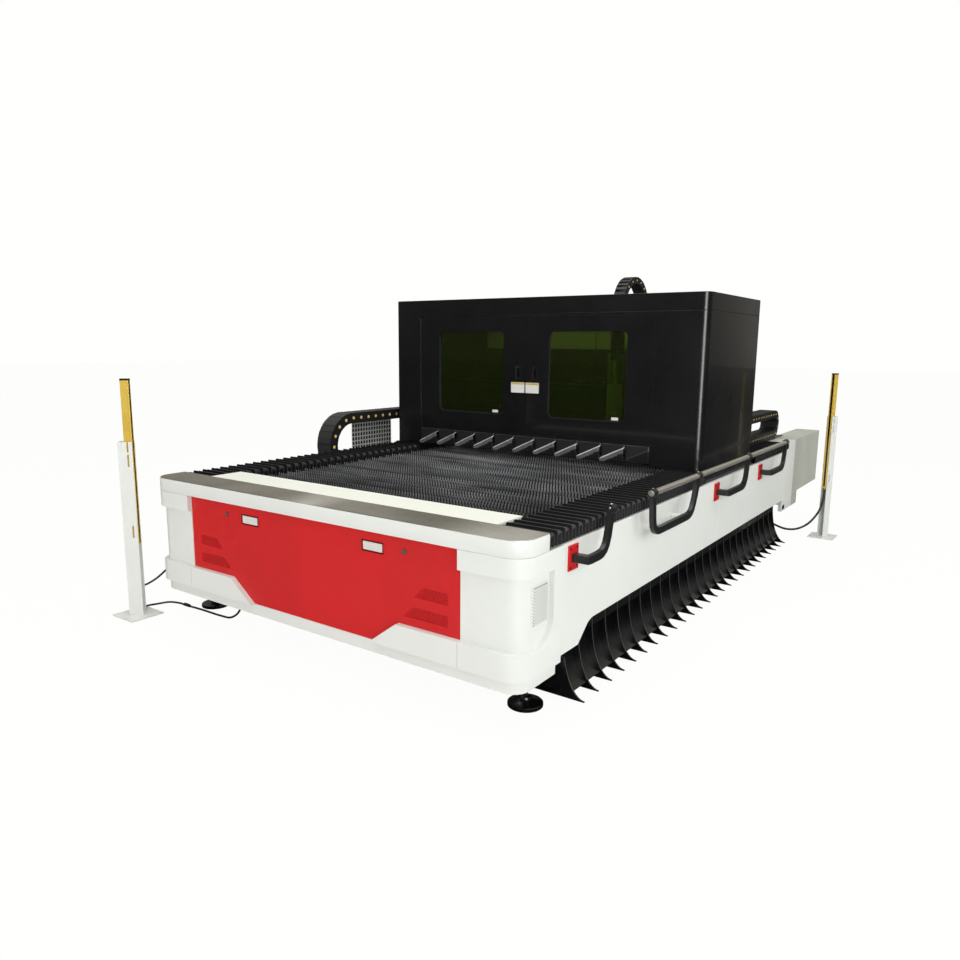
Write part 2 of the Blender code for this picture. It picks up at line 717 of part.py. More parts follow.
side_gland = Shape().drum(
    (-HALF + JOIN, SIDE_GLAND[0], SIDE_GLAND[1]), (-1, 0, 0), GLAND_RADIUS, GLAND_LENGTH + JOIN,
    sides=GLAND_SIDES,
)
PANEL_CUT = -JOIN / 4
opening = Shape().prism(panel_outline(PANEL_CUT, TOP_HEIGHT), "Y", -CORNER, CORNER * 2)
node(
    "front_cabinet", WHITE, core,
    join=(skirt, band, side_post, side_post.mirrored(), side_gland), cut=(opening,),
)

# Red front panel: vents, latch pockets with raised frames and lock holes.
PANEL_TOP = BAND_TOP - GAP
panel = Shape().prism(
    panel_outline(PANEL_CUT + GAP, PANEL_TOP), "Y", PANEL_FRONT, PANEL_FRONT + PANEL_THICK
)
frames = Shape()
pockets = Shape()
holes = Shape()
vents = Shape()
for side in (-1, 1):
    x = side * LATCH_X
    half_width = LATCH_WIDTH / 2
    half_height = LATCH_HEIGHT / 2
    frames.block(
        (x - half_width - LATCH_FRAME, PANEL_FRONT - LATCH_FRAME / 2, LATCH_Z - half_height - LATCH_FRAME),
        (x + half_width + LATCH_FRAME, PANEL_FRONT + JOIN, LATCH_Z + half_height + LATCH_FRAME),
    )
    pockets.block(
        (x - half_width, PANEL_FRONT - CORNER, LATCH_Z - half_height),
        (x + half_width, PANEL_FRONT + LATCH_POCKET, LATCH_Z + half_height),
    )
    holes.drum(
        (side * LOCK_X, PANEL_FRONT - CORNER, LOCK_Z), (0, 1, 0),
        LOCK_RADIUS + GAP, CORNER + LATCH_POCKET, sides=ROUND_SIDES,
    )
    for row, width in enumerate((VENT_LOWER_WIDTH, VENT_UPPER_WIDTH)):
        low = VENT_LOW + VENT_STEP * row
        vents.prism(
            [
                (side * VENT_OUTER, low),
                (side * VENT_OUTER, low + VENT_HEIGHT),
                (side * (VENT_OUTER - width + VENT_LEAN), low + VENT_HEIGHT),
                (side * (VENT_OUTER - width), low),
            ],
            "Y", PANEL_FRONT - CORNER, PANEL_FRONT + VENT_DEPTH,
        )
node("front_panel", RED, panel, join=(frames,), cut=(pockets, holes, vents))

for title, side in (("left", -1), ("right", 1)):
    x = side * LATCH_X
    face = PANEL_FRONT - LATCH_FRAME / 4
    top = LATCH_Z + LATCH_HEIGHT / 2 - LATCH_PIN
    paddle = Shape().block(
        (x - LATCH_WIDTH / 2 + LATCH_PIN, face, LATCH_Z - LATCH_HEIGHT / 2 + LATCH_PIN),
        (x + LATCH_WIDTH / 2 - LATCH_PIN, face + LATCH_PADDLE_THICK, top),
    )
    pins = Shape().drum(
        (x - LATCH_WIDTH / 2 + GAP, face + LATCH_PADDLE_THICK / 2, top - LATCH_PADDLE_THICK * 0.6),
        (1, 0, 0), LATCH_PIN, LATCH_WIDTH - GAP * 2, sides=8,
    )
    node(
        f"latch_{title}", STEEL, paddle, join=(pins,),
        pivot=(x, face + LATCH_PADDLE_THICK / 2, top - LATCH_PADDLE_THICK * 0.6),
    )
    x = side * LOCK_X
    plug = Shape().drum(
        (x, PANEL_FRONT - LOCK_PROUD, LOCK_Z), (0, 1, 0),
        LOCK_RADIUS, LOCK_PROUD + LATCH_POCKET - GAP,
    )
    keyway = Shape().block(
        (x - LOCK_SLOT / 2, PANEL_FRONT - LOCK_PROUD - JOIN, LOCK_Z - LOCK_RADIUS / 2),
        (x + LOCK_SLOT / 2, PANEL_FRONT, LOCK_Z + LOCK_RADIUS / 2),
    )
    node(f"lock_{title}", STEEL, plug, cut=(keyway,), pivot=(x, PANEL_FRONT, LOCK_Z))

# Louvre panel on the side of the right column.
LOUVRE_X = HALF - RECESS + GAP
louvre_plate = Shape().block(
    (LOUVRE_X, LOUVRE_Y, LOUVRE_BOTTOM),
    (LOUVRE_X + LOUVRE_PLATE, LOUVRE_Y + LOUVRE_WIDTH, LOUVRE_BOTTOM + LOUVRE_HEIGHT),
)
blades = Shape()
blade_pitch = LOUVRE_HEIGHT / (LOUVRE_COUNT + 1)
for number in range(LOUVRE_COUNT):
    low = LOUVRE_BOTTOM + blade_pitch * (number + 0.6)
    blades.prism(
        [
            (LOUVRE_X + LOUVRE_PLATE / 2, low),
            (LOUVRE_X + LOUVRE_PLATE + LOUVRE_PROUD, low),
            (LOUVRE_X + LOUVRE_PLATE / 2, low + blade_pitch * 0.8),
        ],
        "Y", LOUVRE_Y + blade_pitch, LOUVRE_Y + LOUVRE_WIDTH - blade_pitch / 2,
    )
node("louvre_right", WHITE, louvre_plate, join=(blades,))

# Side panels.
side_outline = [
    (CABINET_BACK + GAP, SIDE_LOW),
    (SIDE_LOW_END, SIDE_LOW),
    (SIDE_RISE_END, SIDE_HIGH - SIDE_RISE_SOFT / 3),
    (SIDE_RISE_END + SIDE_RISE_SOFT, SIDE_HIGH),
    (SIDE_BACK, SIDE_HIGH),
    (SIDE_BACK, SIDE_TOP),
    (CABINET_BACK + GAP, SIDE_TOP),
]
side_sheet = Shape().prism(side_outline, "X", HALF - SIDE_THICK, HALF)
groove = Shape().block(
    (HALF - GROOVE_DEPTH, SIDE_JOINT_Y, SIDE_LOW),
    (HALF + GROOVE_DEPTH, SIDE_JOINT_Y + GROOVE_WIDTH, SIDE_TOP + CORNER),
)
node("side_panel_left", WHITE, side_sheet.mirrored())
node("side_panel_right", WHITE, side_sheet, cut=(groove,))

# Rib skirts: curved rib plates on a curved sheet, hung under each side beam.
RIB_RISE = SIDE_HIGH - JOIN - RIB_FOOT
rib_outline = [(RIB_INNER, RIB_FOOT), (RIB_ROOT + RIB_REACH, RIB_FOOT)]
for number in range(RIB_STEPS, -1, -1):
    angle = math.radians(90 * number / RIB_STEPS)
    x = RIB_ROOT + RIB_REACH * (1 - math.cos(angle))
    z = RIB_FOOT + RIB_TIP + (RIB_RISE - RIB_TIP) * (1 - math.sin(angle))
    rib_outline.append((x, z))
rib_outline += [
    (HALF - SIDE_THICK - GAP, SIDE_HIGH - JOIN),
    (HALF - SIDE_THICK - GAP, BEAM_BOTTOM - GAP),
    (RIB_INNER, BEAM_BOTTOM - GAP),
]
ribs = Shape()
for number in range(RIB_COUNT):
    y = RIB_FIRST + (RIB_LAST - RIB_FIRST) * number / (RIB_COUNT - 1)
    ribs.prism(rib_outline, "Y", y - RIB_THICK / 2, y + RIB_THICK / 2)
sheet_line = []
for number in range(SHEET_STEPS + 1):
    angle = math.radians(90 * SHEET_SHARE * number / SHEET_STEPS)
    x = RIB_ROOT - SHEET_SET_BACK + RIB_REACH * (1 - math.cos(angle))
    z = SIDE_HIGH - STRIP_DEPTH - (RIB_RISE - STRIP_DEPTH) * SHEET_SHARE * math.sin(angle)
    sheet_line.append((x, z))
curved = Shape().prism(
    strip(sheet_line, SHEET_THICK), "Y", RIB_FIRST - RIB_THICK / 4, RIB_LAST + RIB_THICK / 4
)
edge_strip = Shape().block(
    (RIB_ROOT - SHEET_SET_BACK - SHEET_THICK / 2, RIB_FIRST, SIDE_HIGH - STRIP_DEPTH - JOIN * 2),
    (RIB_ROOT - JOIN, RIB_LAST, SIDE_HIGH - JOIN * 2),
)
notch_outline = [
    (CABINET_BACK - GAP, SIDE_LOW - GAP),
    (SIDE_LOW_END + GAP, SIDE_LOW - GAP),
    (SIDE_RISE_END + GAP, SIDE_HIGH - SIDE_RISE_SOFT / 3 - GAP),
    (SIDE_RISE_END + SIDE_RISE_SOFT + GAP, SIDE_HIGH - GAP),
    (SIDE_RISE_END + SIDE_RISE_SOFT + GAP, SIDE_TOP),
    (CABINET_BACK - GAP, SIDE_TOP),
]
notch = Shape().prism(notch_outline, "X", HALF - SIDE_THICK - GAP * 2, HALF + CORNER)
node(
    "rib_skirt_left", BLACK, ribs.mirrored(),
    join=(curved.mirrored(), edge_strip.mirrored()), cut=(notch.mirrored(),),
)
node("rib_skirt_right", BLACK, ribs, join=(curved, edge_strip), cut=(notch,))

# Guide rails with their racks, on the side beams.
RAIL_FRONT = FRAME_FRONT + SLAT_RAIL
RAIL_BACK = FRAME_BACK - SLAT_RAIL
rail_plate = Shape().block(
    (RACK_X - RACK_WIDTH, RAIL_FRONT, BEAM_TOP + GAP),
    (RAIL_X + RAIL_WIDTH, RAIL_BACK, BEAM_TOP + GAP + RAIL_PLATE),
)
guide = Shape().block(
    (RAIL_X - RAIL_WIDTH / 2, RAIL_FRONT, BEAM_TOP + RAIL_PLATE / 2),
    (RAIL_X + RAIL_WIDTH / 2, RAIL_BACK, BEAM_TOP + RAIL_HEIGHT),
)
rack = Shape().block(
    (RACK_X - RACK_WIDTH / 2, RAIL_FRONT, BEAM_TOP + RAIL_PLATE / 2),
    (RACK_X + RACK_WIDTH / 2, RAIL_BACK, BEAM_TOP + RACK_HEIGHT),
)
node("guide_rail_left", STEEL, rail_plate.mirrored(), join=(guide.mirrored(), rack.mirrored()))
node("guide_rail_right", STEEL, rail_plate, join=(guide, rack))


# Bellows: pleated covers over the rails, open below.
def bellows(front, back):
    count = max(4, round((back - front) / PLEAT))
    rings = []
    for number in range(2 * count + 1):
        y = front + (back - front) * number / (2 * count)
        dip = PLEAT_DEPTH if number % 2 else 0
        wall = BELLOWS_WALL
        low_x, high_x = BELLOWS_INNER + dip, HALF - dip
        top = TOP_HEIGHT - dip
        ring = [
            (low_x, BELLOWS_BOTTOM), (low_x, top), (high_x, top), (high_x, BELLOWS_BOTTOM),
            (high_x - wall, BELLOWS_BOTTOM), (high_x - wall, top - wall),
            (low_x + wall, top - wall), (low_x + wall, BELLOWS_BOTTOM),
        ]
        rings.append([(x, y, z) for x, z in ring])
    return Shape().loft(rings)


front_cover = bellows(CAP_DEPTH + GAP, GANTRY_FRONT - GAP)
rear_cover = bellows(GANTRY_BACK + GAP, SIDE_BACK)
node("bellows_front_left", BLACK, front_cover.mirrored())
node("bellows_front_right", BLACK, front_cover)
node("bellows_rear_left", BLACK, rear_cover.mirrored())
node("bellows_rear_right", BLACK, rear_cover)

# Rear cover and the slim cabinet on its right.
cover = Shape().block((-HALF, SIDE_BACK + GAP, REAR_BOTTOM), (HALF, BED_BACK, REAR_TOP))
hollow = Shape().block(
    (-HALF + REAR_WALL, SIDE_BACK - CORNER, 0), (HALF - REAR_WALL, BED_BACK - REAR_WALL, REAR_TOP - REAR_WALL)
)
node("rear_cover", WHITE, cover, cut=(hollow,))
cabinet = Shape().prism(
    [
        (BED_BACK + GAP, REAR_BOTTOM),
        (CABINET_FOOT_END, REAR_BOTTOM),
        (CABINET_FOOT_END, CABINET_LOW),
        (CABINET_END, CABINET_LOW),
        (CABINET_END, CABINET_TOP),
        (BED_BACK + GAP, CABINET_TOP),
    ],
    "X", CABINET_X, HALF,
)
node("rear_cabinet", GREY, cabinet)

# Left drag chain in its tray, with the perforated guard beside it.
SIDE_CHAIN_HIGH = SIDE_CHAIN_LOW + 2 * SIDE_CHAIN_RADIUS
bend_y = SIDE_CHAIN_FRONT + SIDE_CHAIN_RADIUS
path = [(SIDE_CHAIN_HELD, SIDE_CHAIN_HIGH)]
path += arc((bend_y, SIDE_CHAIN_LOW + SIDE_CHAIN_RADIUS), SIDE_CHAIN_RADIUS, SIDE_CHAIN_RADIUS, 90, 270, 8)
path += [(SIDE_CHAIN_FIXED, SIDE_CHAIN_LOW)]
node("side_chain", BLACK, chain_shape(path, LINK_HEIGHT, CHAIN_WIDTH, "X", SIDE_CHAIN_OUTER))
tray_floor = SIDE_CHAIN_LOW - LINK_HEIGHT / 2 - GAP
tray_edge = SIDE_CHAIN_OUTER - TRAY_WALL * 3
tray = Shape().block(
    (tray_edge, TRAY_FRONT, tray_floor - TRAY_WALL),
    (-HALF - GAP, TRAY_BACK, tray_floor + TRAY_HEIGHT),
)
trough = Shape().block(
    (tray_edge + TRAY_WALL, TRAY_FRONT - CORNER, tray_floor),
    (-HALF - GAP - TRAY_WALL, SIDE_CHAIN_FIXED + GAP, tray_floor + TRAY_HEIGHT + CORNER),
)
node("chain_tray", GREY, tray, cut=(trough,))
guard = Shape().block(
    (tray_edge - GAP - GUARD_THICK, GUARD_FRONT, tray_floor - TRAY_WALL),
    (tray_edge - GAP, GUARD_BACK, GUARD_TOP),
)
holes = Shape()
row_pitch = GUARD_PITCH * 0.8
for column in range(GUARD_COLUMNS):
    for row in range(GUARD_ROWS):
        y = GUARD_FRONT + GUARD_PITCH * (column + 0.6)
        z = GUARD_TOP - row_pitch * (row + 0.7)
        holes.block(
            (tray_edge - CORNER, y - GUARD_HOLE, z - GUARD_HOLE * 0.8),
            (tray_edge + CORNER, y + GUARD_HOLE, z + GUARD_HOLE * 0.8),
        )
node("chain_guard", WHITE, guard, cut=(holes,))

# Rear hose chain on its tray.
hose_low = HOSE_TRAY_BOTTOM + HOSE_TRAY_THICK + GAP + HOSE_HEIGHT / 2
hose_high = hose_low + 2 * HOSE_RADIUS
hose_bend = HOSE_BACK - HOSE_HEIGHT / 2 - HOSE_RADIUS
path = [(GANTRY_BACK + GAP, hose_high)]
path += arc((hose_bend, hose_low + HOSE_RADIUS), HOSE_RADIUS, HOSE_RADIUS, 90, -90, 8)
path += [(HOSE_FIXED, hose_low)]
node("hose_chain", BLACK, chain_shape(path, HOSE_HEIGHT, HOSE_WIDTH, "X", HOSE_OUTER - HOSE_WIDTH))
hose_tray = Shape().block(
    (HOSE_OUTER - HOSE_WIDTH - TRAY_WALL, HOSE_FIXED - HOSE_STOP, HOSE_TRAY_BOTTOM),
    (HOSE_OUTER + TRAY_WALL, HOSE_TRAY_BACK, HOSE_TRAY_BOTTOM + HOSE_TRAY_THICK),
)
hose_stop = Shape().block(
    (HOSE_OUTER - HOSE_WIDTH, HOSE_FIXED - HOSE_STOP + JOIN, HOSE_TRAY_BOTTOM + JOIN / 4),
    (HOSE_OUTER, HOSE_FIXED - GAP, hose_low + HOSE_HEIGHT / 2),
)
hose_foot = Shape().block(
    (HOSE_OUTER - HOSE_WIDTH, SIDE_BACK + REAR_WALL, REAR_TOP + GAP),
    (HOSE_OUTER, BED_BACK - REAR_WALL, HOSE_TRAY_BOTTOM + JOIN / 4),
)
node("hose_tray", GREY, hose_tray, join=(hose_stop, hose_foot))

# Gantry beam: a saddle on each guide rail, a column on each saddle and the beam between.
SADDLE_BOTTOM = BEAM_TOP + RAIL_HEIGHT + GAP
saddles = Shape()
columns = Shape()
for side in (-1, 1):
    edges = sorted((side * SADDLE_INNER, side * SADDLE_OUTER))
    saddles.block((edges[0], GANTRY_FRONT, SADDLE_BOTTOM), (edges[1], GANTRY_BACK, SADDLE_TOP))
    edges = sorted((side * (COLUMN_X_IN + JOIN), side * COLUMN_X_OUT))
    columns.block(
        (edges[0], BEAM_FRONT - COLUMN_PROUD, SADDLE_TOP - JOIN),
        (edges[1], BEAM_BACK + COLUMN_PROUD, GANTRY_BEAM_TOP),
    )
beam = Shape().block(
    (-COLUMN_X_OUT + COLUMN_PROUD, BEAM_FRONT, GANTRY_BEAM_BOTTOM),
    (COLUMN_X_OUT - COLUMN_PROUD, BEAM_BACK, GANTRY_BEAM_TOP - JOIN),
)
cross_rails = Shape()
for z in (GANTRY_BEAM_BOTTOM + CROSS_RAIL_INSET, GANTRY_BEAM_TOP - CROSS_RAIL_INSET - CROSS_RAIL):
    cross_rails.block(
        (-COLUMN_X_IN + COLUMN_PROUD, BEAM_FRONT - CROSS_RAIL_PROUD, z),
        (COLUMN_X_IN - COLUMN_PROUD, BEAM_FRONT + JOIN, z + CROSS_RAIL),
    )
GANTRY_PIVOT = (0, BEAM_FRONT, SADDLE_BOTTOM)
node("gantry_beam", GREY, saddles, join=(columns, beam, cross_rails), pivot=GANTRY_PIVOT)

for title, side in (("left", -1), ("right", 1)):
    x = side * DRIVE_X
    drive = Shape().block(
        (x - DRIVE_HALF, DRIVE_Y - DRIVE_HALF, SADDLE_TOP + GAP),
        (x + DRIVE_HALF, DRIVE_Y + DRIVE_HALF, SADDLE_TOP + DRIVE_HEIGHT * 0.4),
    )
    motor = Shape().block(
        (x - MOTOR_HALF, DRIVE_Y - MOTOR_HALF, SADDLE_TOP + DRIVE_HEIGHT * 0.35),
        (x + MOTOR_HALF, DRIVE_Y + MOTOR_HALF, SADDLE_TOP + DRIVE_HEIGHT),
    )
    node(f"side_drive_{title}", BLACK, drive, join=(motor,), pivot=(x, DRIVE_Y, SADDLE_TOP))


# Enclosure: walls with rounded corners, open below, a wide front opening and the lid with its slot.
def shell_outline(less, radius):
    return rounded(
        (-SHELL_HALF + less, GANTRY_FRONT + less), (SHELL_HALF - less, GANTRY_BACK - less),
        radius, SHELL_CORNER_STEPS,
    )


shell = Shape().prism(shell_outline(0, SHELL_CORNER), "Z", SHELL_BOTTOM, LID_BOTTOM - GAP)
inside = Shape().prism(
    shell_outline(SHELL_WALL, SHELL_CORNER - SHELL_WALL / 2), "Z", 0, ENCLOSURE_TOP + CORNER
)
doorway = Shape().block(
    (DOOR_LEFT, GANTRY_FRONT - CORNER, 0), (DOOR_RIGHT, GANTRY_FRONT + SHELL_WALL + CORNER / 2, DOOR_TOP)
)
chain_bracket = Shape().block(
    (SIDE_CHAIN_OUTER, SIDE_CHAIN_HELD + GAP, SIDE_CHAIN_HIGH - LINK_HEIGHT / 2),
    (-SHELL_HALF + JOIN, SIDE_CHAIN_HELD + LINK, SIDE_CHAIN_HIGH + LINK_HEIGHT / 2),
)
SHELL_PIVOT = (0, GANTRY_FRONT, SHELL_BOTTOM)
node(
    "enclosure", BLACK, shell, join=(chain_bracket,), cut=(inside, doorway), pivot=SHELL_PIVOT
)
lid = Shape().prism(shell_outline(0, SHELL_CORNER), "Z", LID_BOTTOM, ENCLOSURE_TOP)
lid_hollow = Shape().prism(
    shell_outline(SHELL_WALL, SHELL_CORNER - SHELL_WALL / 2), "Z", 0, ENCLOSURE_TOP - LID_SKIN
)
lid_slot = Shape().block(
    (-SLOT_HALF, SLOT_FRONT, LID_BOTTOM), (SLOT_HALF, SLOT_BACK, ENCLOSURE_TOP + CORNER)
)
node("enclosure_lid", BLACK, lid, cut=(lid_hollow, lid_slot), pivot=(0, GANTRY_FRONT, LID_BOTTOM))

# Doors with bar handles, and a green window in each.
for title, low_x, high_x, side in (
    ("left", DOOR_LEFT + GAP, DOOR_MEET - DOOR_GAP / 2, -1),
    ("right", DOOR_MEET + DOOR_GAP / 2, DOOR_RIGHT - GAP, 1),
):
    hinge = (low_x if side < 0 else high_x, GANTRY_FRONT, DOOR_BOTTOM)
    leaf = Shape().block(
        (low_x, GANTRY_FRONT, DOOR_BOTTOM), (high_x, GANTRY_FRONT + DOOR_THICK, DOOR_TOP - DOOR_GAP)
    )
    hole = Shape().prism(
        rounded(
            (low_x + WINDOW_MARGIN, WINDOW_BOTTOM), (high_x - WINDOW_MARGIN, WINDOW_TOP),
            WINDOW_RADIUS, WINDOW_STEPS,
        ),
        "Y", GANTRY_FRONT - CORNER, GANTRY_FRONT + CORNER,
    )
    x = DOOR_MEET + side * HANDLE_OFFSET
    half = HANDLE_WIDTH / 2
    bar = Shape().block(
        (x - half, GANTRY_FRONT - HANDLE_REACH, HANDLE_BOTTOM),
        (x + half, GANTRY_FRONT - HANDLE_REACH + HANDLE_BAR, HANDLE_BOTTOM + HANDLE_HEIGHT),
    )
    stands = Shape()
    for z in (HANDLE_BOTTOM + JOIN, HANDLE_BOTTOM + HANDLE_HEIGHT - HANDLE_BAR - JOIN):
        stands.block(
            (x - half + JOIN, GANTRY_FRONT - HANDLE_REACH + HANDLE_BAR - JOIN, z),
            (x + half - JOIN, GANTRY_FRONT + JOIN, z + HANDLE_BAR),
        )
    node(f"door_{title}", BLACK, leaf, join=(stands, bar), cut=(hole,), pivot=hinge)
    pane = Shape().prism(
        rounded(
            (low_x + WINDOW_MARGIN + WINDOW_CLEAR, WINDOW_BOTTOM + WINDOW_CLEAR),
            (high_x - WINDOW_MARGIN - WINDOW_CLEAR, WINDOW_TOP - WINDOW_CLEAR),
            WINDOW_RADIUS - WINDOW_CLEAR, WINDOW_STEPS,
        ),
        "Y", GANTRY_FRONT + PANE_SET, GANTRY_FRONT + PANE_SET + PANE_THICK,
    )
    node(f"window_{title}", GREEN, pane, pivot=hinge)

# Flap curtain: a rail across the doorway with folded flaps hanging from it.
flap_rail = Shape().block(
    (DOOR_LEFT + GAP, GANTRY_FRONT + GAP, FLAP_TOP - FLAP_RAIL),
    (DOOR_RIGHT - GAP, GANTRY_FRONT + FLAP_RAIL_DEPTH, FLAP_TOP),
)
flaps = Shape()
flap_width = (DOOR_RIGHT - DOOR_LEFT) / FLAP_COUNT
for number in range(FLAP_COUNT):
    left = DOOR_LEFT + flap_width * number + DOOR_GAP
    right = DOOR_LEFT + flap_width * (number + 1) - DOOR_GAP
    y = GANTRY_FRONT + GAP
    back = [
        Vector((left, y + FLAP_THICK, FLAP_TOP - FLAP_RAIL + JOIN)),
        Vector((right, y + FLAP_THICK, FLAP_TOP - FLAP_RAIL + JOIN)),
        Vector((right, y - FLAP_REACH * 0.9 + FLAP_THICK, FLAP_BOTTOM)),
        Vector((left, y - FLAP_REACH * 0.25 + FLAP_THICK, FLAP_BOTTOM)),
    ]
    front = [point - Vector((0, FLAP_THICK, 0)) for point in back]
    rows = [[flaps.bm.verts.new(point) for point in ring] for ring in (front, back)]
    (a, b, c, d), (e, f, g, h) = rows
    for corners in (
        (a, b, d), (b, c, d), (e, h, f), (f, h, g),
        (a, e, f, b), (b, f, g, c), (c, g, h, d), (d, h, e, a),
    ):
        flaps.bm.faces.new(corners)
node("flap_curtain", BLACK, flap_rail, join=(flaps,), pivot=SHELL_PIVOT)

# Cross carriage on the beam, its motor, the cutting head and the chains.
CARRIAGE_BACK = BEAM_FRONT - CROSS_RAIL_PROUD - GAP
CARRIAGE_FRONT = CARRIAGE_BACK - CARRIAGE_THICK
HOOK_LOW = GANTRY_BEAM_TOP + CROSS_CHAIN_HEIGHT + CROSS_CHAIN_RADIUS * 2 + GAP * 2
CARRIAGE_TOP = HOOK_LOW + HOOK_THICK
carriage = Shape().block(
    (HEAD_X - CARRIAGE_HALF, CARRIAGE_FRONT, CARRIAGE_BOTTOM),
    (HEAD_X + CARRIAGE_HALF, CARRIAGE_BACK, CARRIAGE_TOP),
)
hook = Shape().block(
    (HEAD_X - CARRIAGE_HALF * 0.8, CARRIAGE_BACK - JOIN, HOOK_LOW),
    (HEAD_X + CARRIAGE_HALF * 0.8, HOOK_BACK, CARRIAGE_TOP - JOIN),
)
motor_y = CARRIAGE_BACK + MOTOR_HALF
lift_motor = Shape().block(
    (HEAD_X - MOTOR_HALF, motor_y - MOTOR_HALF, CARRIAGE_TOP - JOIN * 2),
    (HEAD_X + MOTOR_HALF, motor_y + MOTOR_HALF, CARRIAGE_TOP + MOTOR_HEIGHT),
)
CARRIAGE_PIVOT = (HEAD_X, CARRIAGE_BACK, CARRIAGE_BOTTOM)
node("cross_carriage", GREY, carriage, join=(hook, lift_motor), pivot=CARRIAGE_PIVOT)

slide_back = CARRIAGE_FRONT - GAP
slide_front = slide_back - SLIDE_THICK
slide = Shape().block(
    (HEAD_X - SLIDE_HALF, slide_front, SLIDE_BOTTOM), (HEAD_X + SLIDE_HALF, slide_back, SLIDE_TOP)
)
head_y = slide_front - HEAD_DEPTH / 2
head = Shape().block(
    (HEAD_X - HEAD_HALF, slide_front - HEAD_DEPTH, HEAD_BOTTOM),
    (HEAD_X + HEAD_HALF, slide_front + JOIN, HEAD_TOP),
)
neck = Shape().drum(
    (HEAD_X, head_y, NECK_BOTTOM), (0, 0, 1), NECK_RADIUS * 0.7, HEAD_BOTTOM - NECK_BOTTOM + JOIN,
    tip=NECK_RADIUS,
)
nozzle = Shape().drum(
    (HEAD_X, head_y, NOZZLE_BOTTOM), (0, 0, 1), NOZZLE_RADIUS / 2, NECK_BOTTOM - NOZZLE_BOTTOM + JOIN,
    tip=NOZZLE_RADIUS * 1.6,
)
node("cutting_head", STEEL, slide, join=(head, neck, nozzle), pivot=(HEAD_X, head_y, NOZZLE_BOTTOM))

chain_low = GANTRY_BEAM_TOP + GAP + CROSS_CHAIN_HEIGHT / 2
chain_high = chain_low + 2 * CROSS_CHAIN_RADIUS
chain_front = (BEAM_FRONT + BEAM_BACK) / 2 - CROSS_CHAIN_WIDTH / 2
path = [(HEAD_X, chain_high)]
centre = (CROSS_CHAIN_BEND, chain_low + CROSS_CHAIN_RADIUS)
path += arc(centre, CROSS_CHAIN_RADIUS, CROSS_CHAIN_RADIUS, 90, -90, 6)
path += [(CROSS_CHAIN_FIXED, chain_low)]
node(
    "cross_chain", BLACK,
    chain_shape(path, CROSS_CHAIN_HEIGHT, CROSS_CHAIN_WIDTH, "Y", chain_front, LINK * 0.7),
    pivot=(HEAD_X, chain_front, chain_low),
)
lift_front = slide_front - LIFT_CHAIN_HEIGHT / 2 - GAP
lift_mid = lift_front + LIFT_CHAIN_RADIUS
lift_z = LIFT_CHAIN_TOP - LIFT_CHAIN_HEIGHT / 2 - LIFT_CHAIN_RADIUS
path = [(lift_front, HEAD_TOP + GAP)]
path += arc((lift_mid, lift_z), LIFT_CHAIN_RADIUS, LIFT_CHAIN_RADIUS, 180, 0, 8)
path += [(lift_mid + LIFT_CHAIN_RADIUS, CARRIAGE_TOP - JOIN + GAP)]
node(
    "lift_chain", BLACK,
    chain_shape(
        path, LIFT_CHAIN_HEIGHT, LIFT_CHAIN_WIDTH, "X", HEAD_X - LIFT_CHAIN_WIDTH / 2, LINK * 0.7
    ),
    pivot=(HEAD_X, lift_front, HEAD_TOP),
)


# Handrail: stainless tube through the heads of a loop and two arms, and one arm alone at the front.
def bent(points, radius, steps):
    """Path with its inner corners rounded."""
    found = [points[0]]
    for a, b, c in zip(points, points[1:], points[2:]):
        a, b, c = Vector(a), Vector(b), Vector(c)
        come, leave = (b - a).normalized(), (c - b).normalized()
        start, end = b - come * radius, b + leave * radius
        for i in range(steps + 1):
            t = i / steps
            found.append(tuple((1 - t) ** 2 * start + 2 * t * (1 - t) * b + t * t * end))
    return found + [points[-1]]


def arm_head(y):
    return Shape().drum(
        (TUBE_X, y - ARM_HEIGHT / 2, TUBE_Z), (0, 1, 0), TUBE_RADIUS * 1.45, ARM_HEIGHT, sides=16
    )


tube_hole = Shape().drum(
    (TUBE_X, CABINET_BACK, TUBE_Z), (0, 1, 0), TUBE_RADIUS + GAP, SIDE_BACK, sides=ROUND_SIDES
)
tube = Shape().drum((TUBE_X, TUBE_FRONT, TUBE_Z), (0, 1, 0), TUBE_RADIUS, TUBE_BACK - TUBE_FRONT)
node("handrail_tube", STEEL, tube)
arm_low_x, arm_high_x = TUBE_X - ARM_THICK / 2, TUBE_X + ARM_THICK / 2
loop_path = bent(
    [
        (LOOP_FRONT + ARM_HEIGHT / 2, TUBE_Z - TUBE_RADIUS),
        (LOOP_FRONT + ARM_HEIGHT / 2 + LOOP_LEAN / 4, ARM_LOW - ARM_HEIGHT / 2),
        (LOOP_BACK - LOOP_LEAN, ARM_LOW - ARM_HEIGHT / 2),
        (LOOP_BACK, TUBE_Z - TUBE_RADIUS),
    ],
    ARM_BEND, ARM_STEPS,
)
loop = Shape().prism(strip(loop_path, ARM_HEIGHT), "X", arm_low_x, arm_high_x)
spacers = Shape()
for y in (LOOP_FRONT + LOOP_LEAN * 1.6, LOOP_BACK - LOOP_LEAN * 2):
    spacers.drum(
        (HALF + GAP, y, ARM_LOW - ARM_HEIGHT / 2), (1, 0, 0), SPACER_RADIUS, arm_low_x - HALF, sides=12
    )
node(
    "handle_loop", BLACK, loop,
    join=(arm_head(LOOP_FRONT + ARM_HEIGHT / 2), arm_head(LOOP_BACK), spacers), cut=(tube_hole,),
)
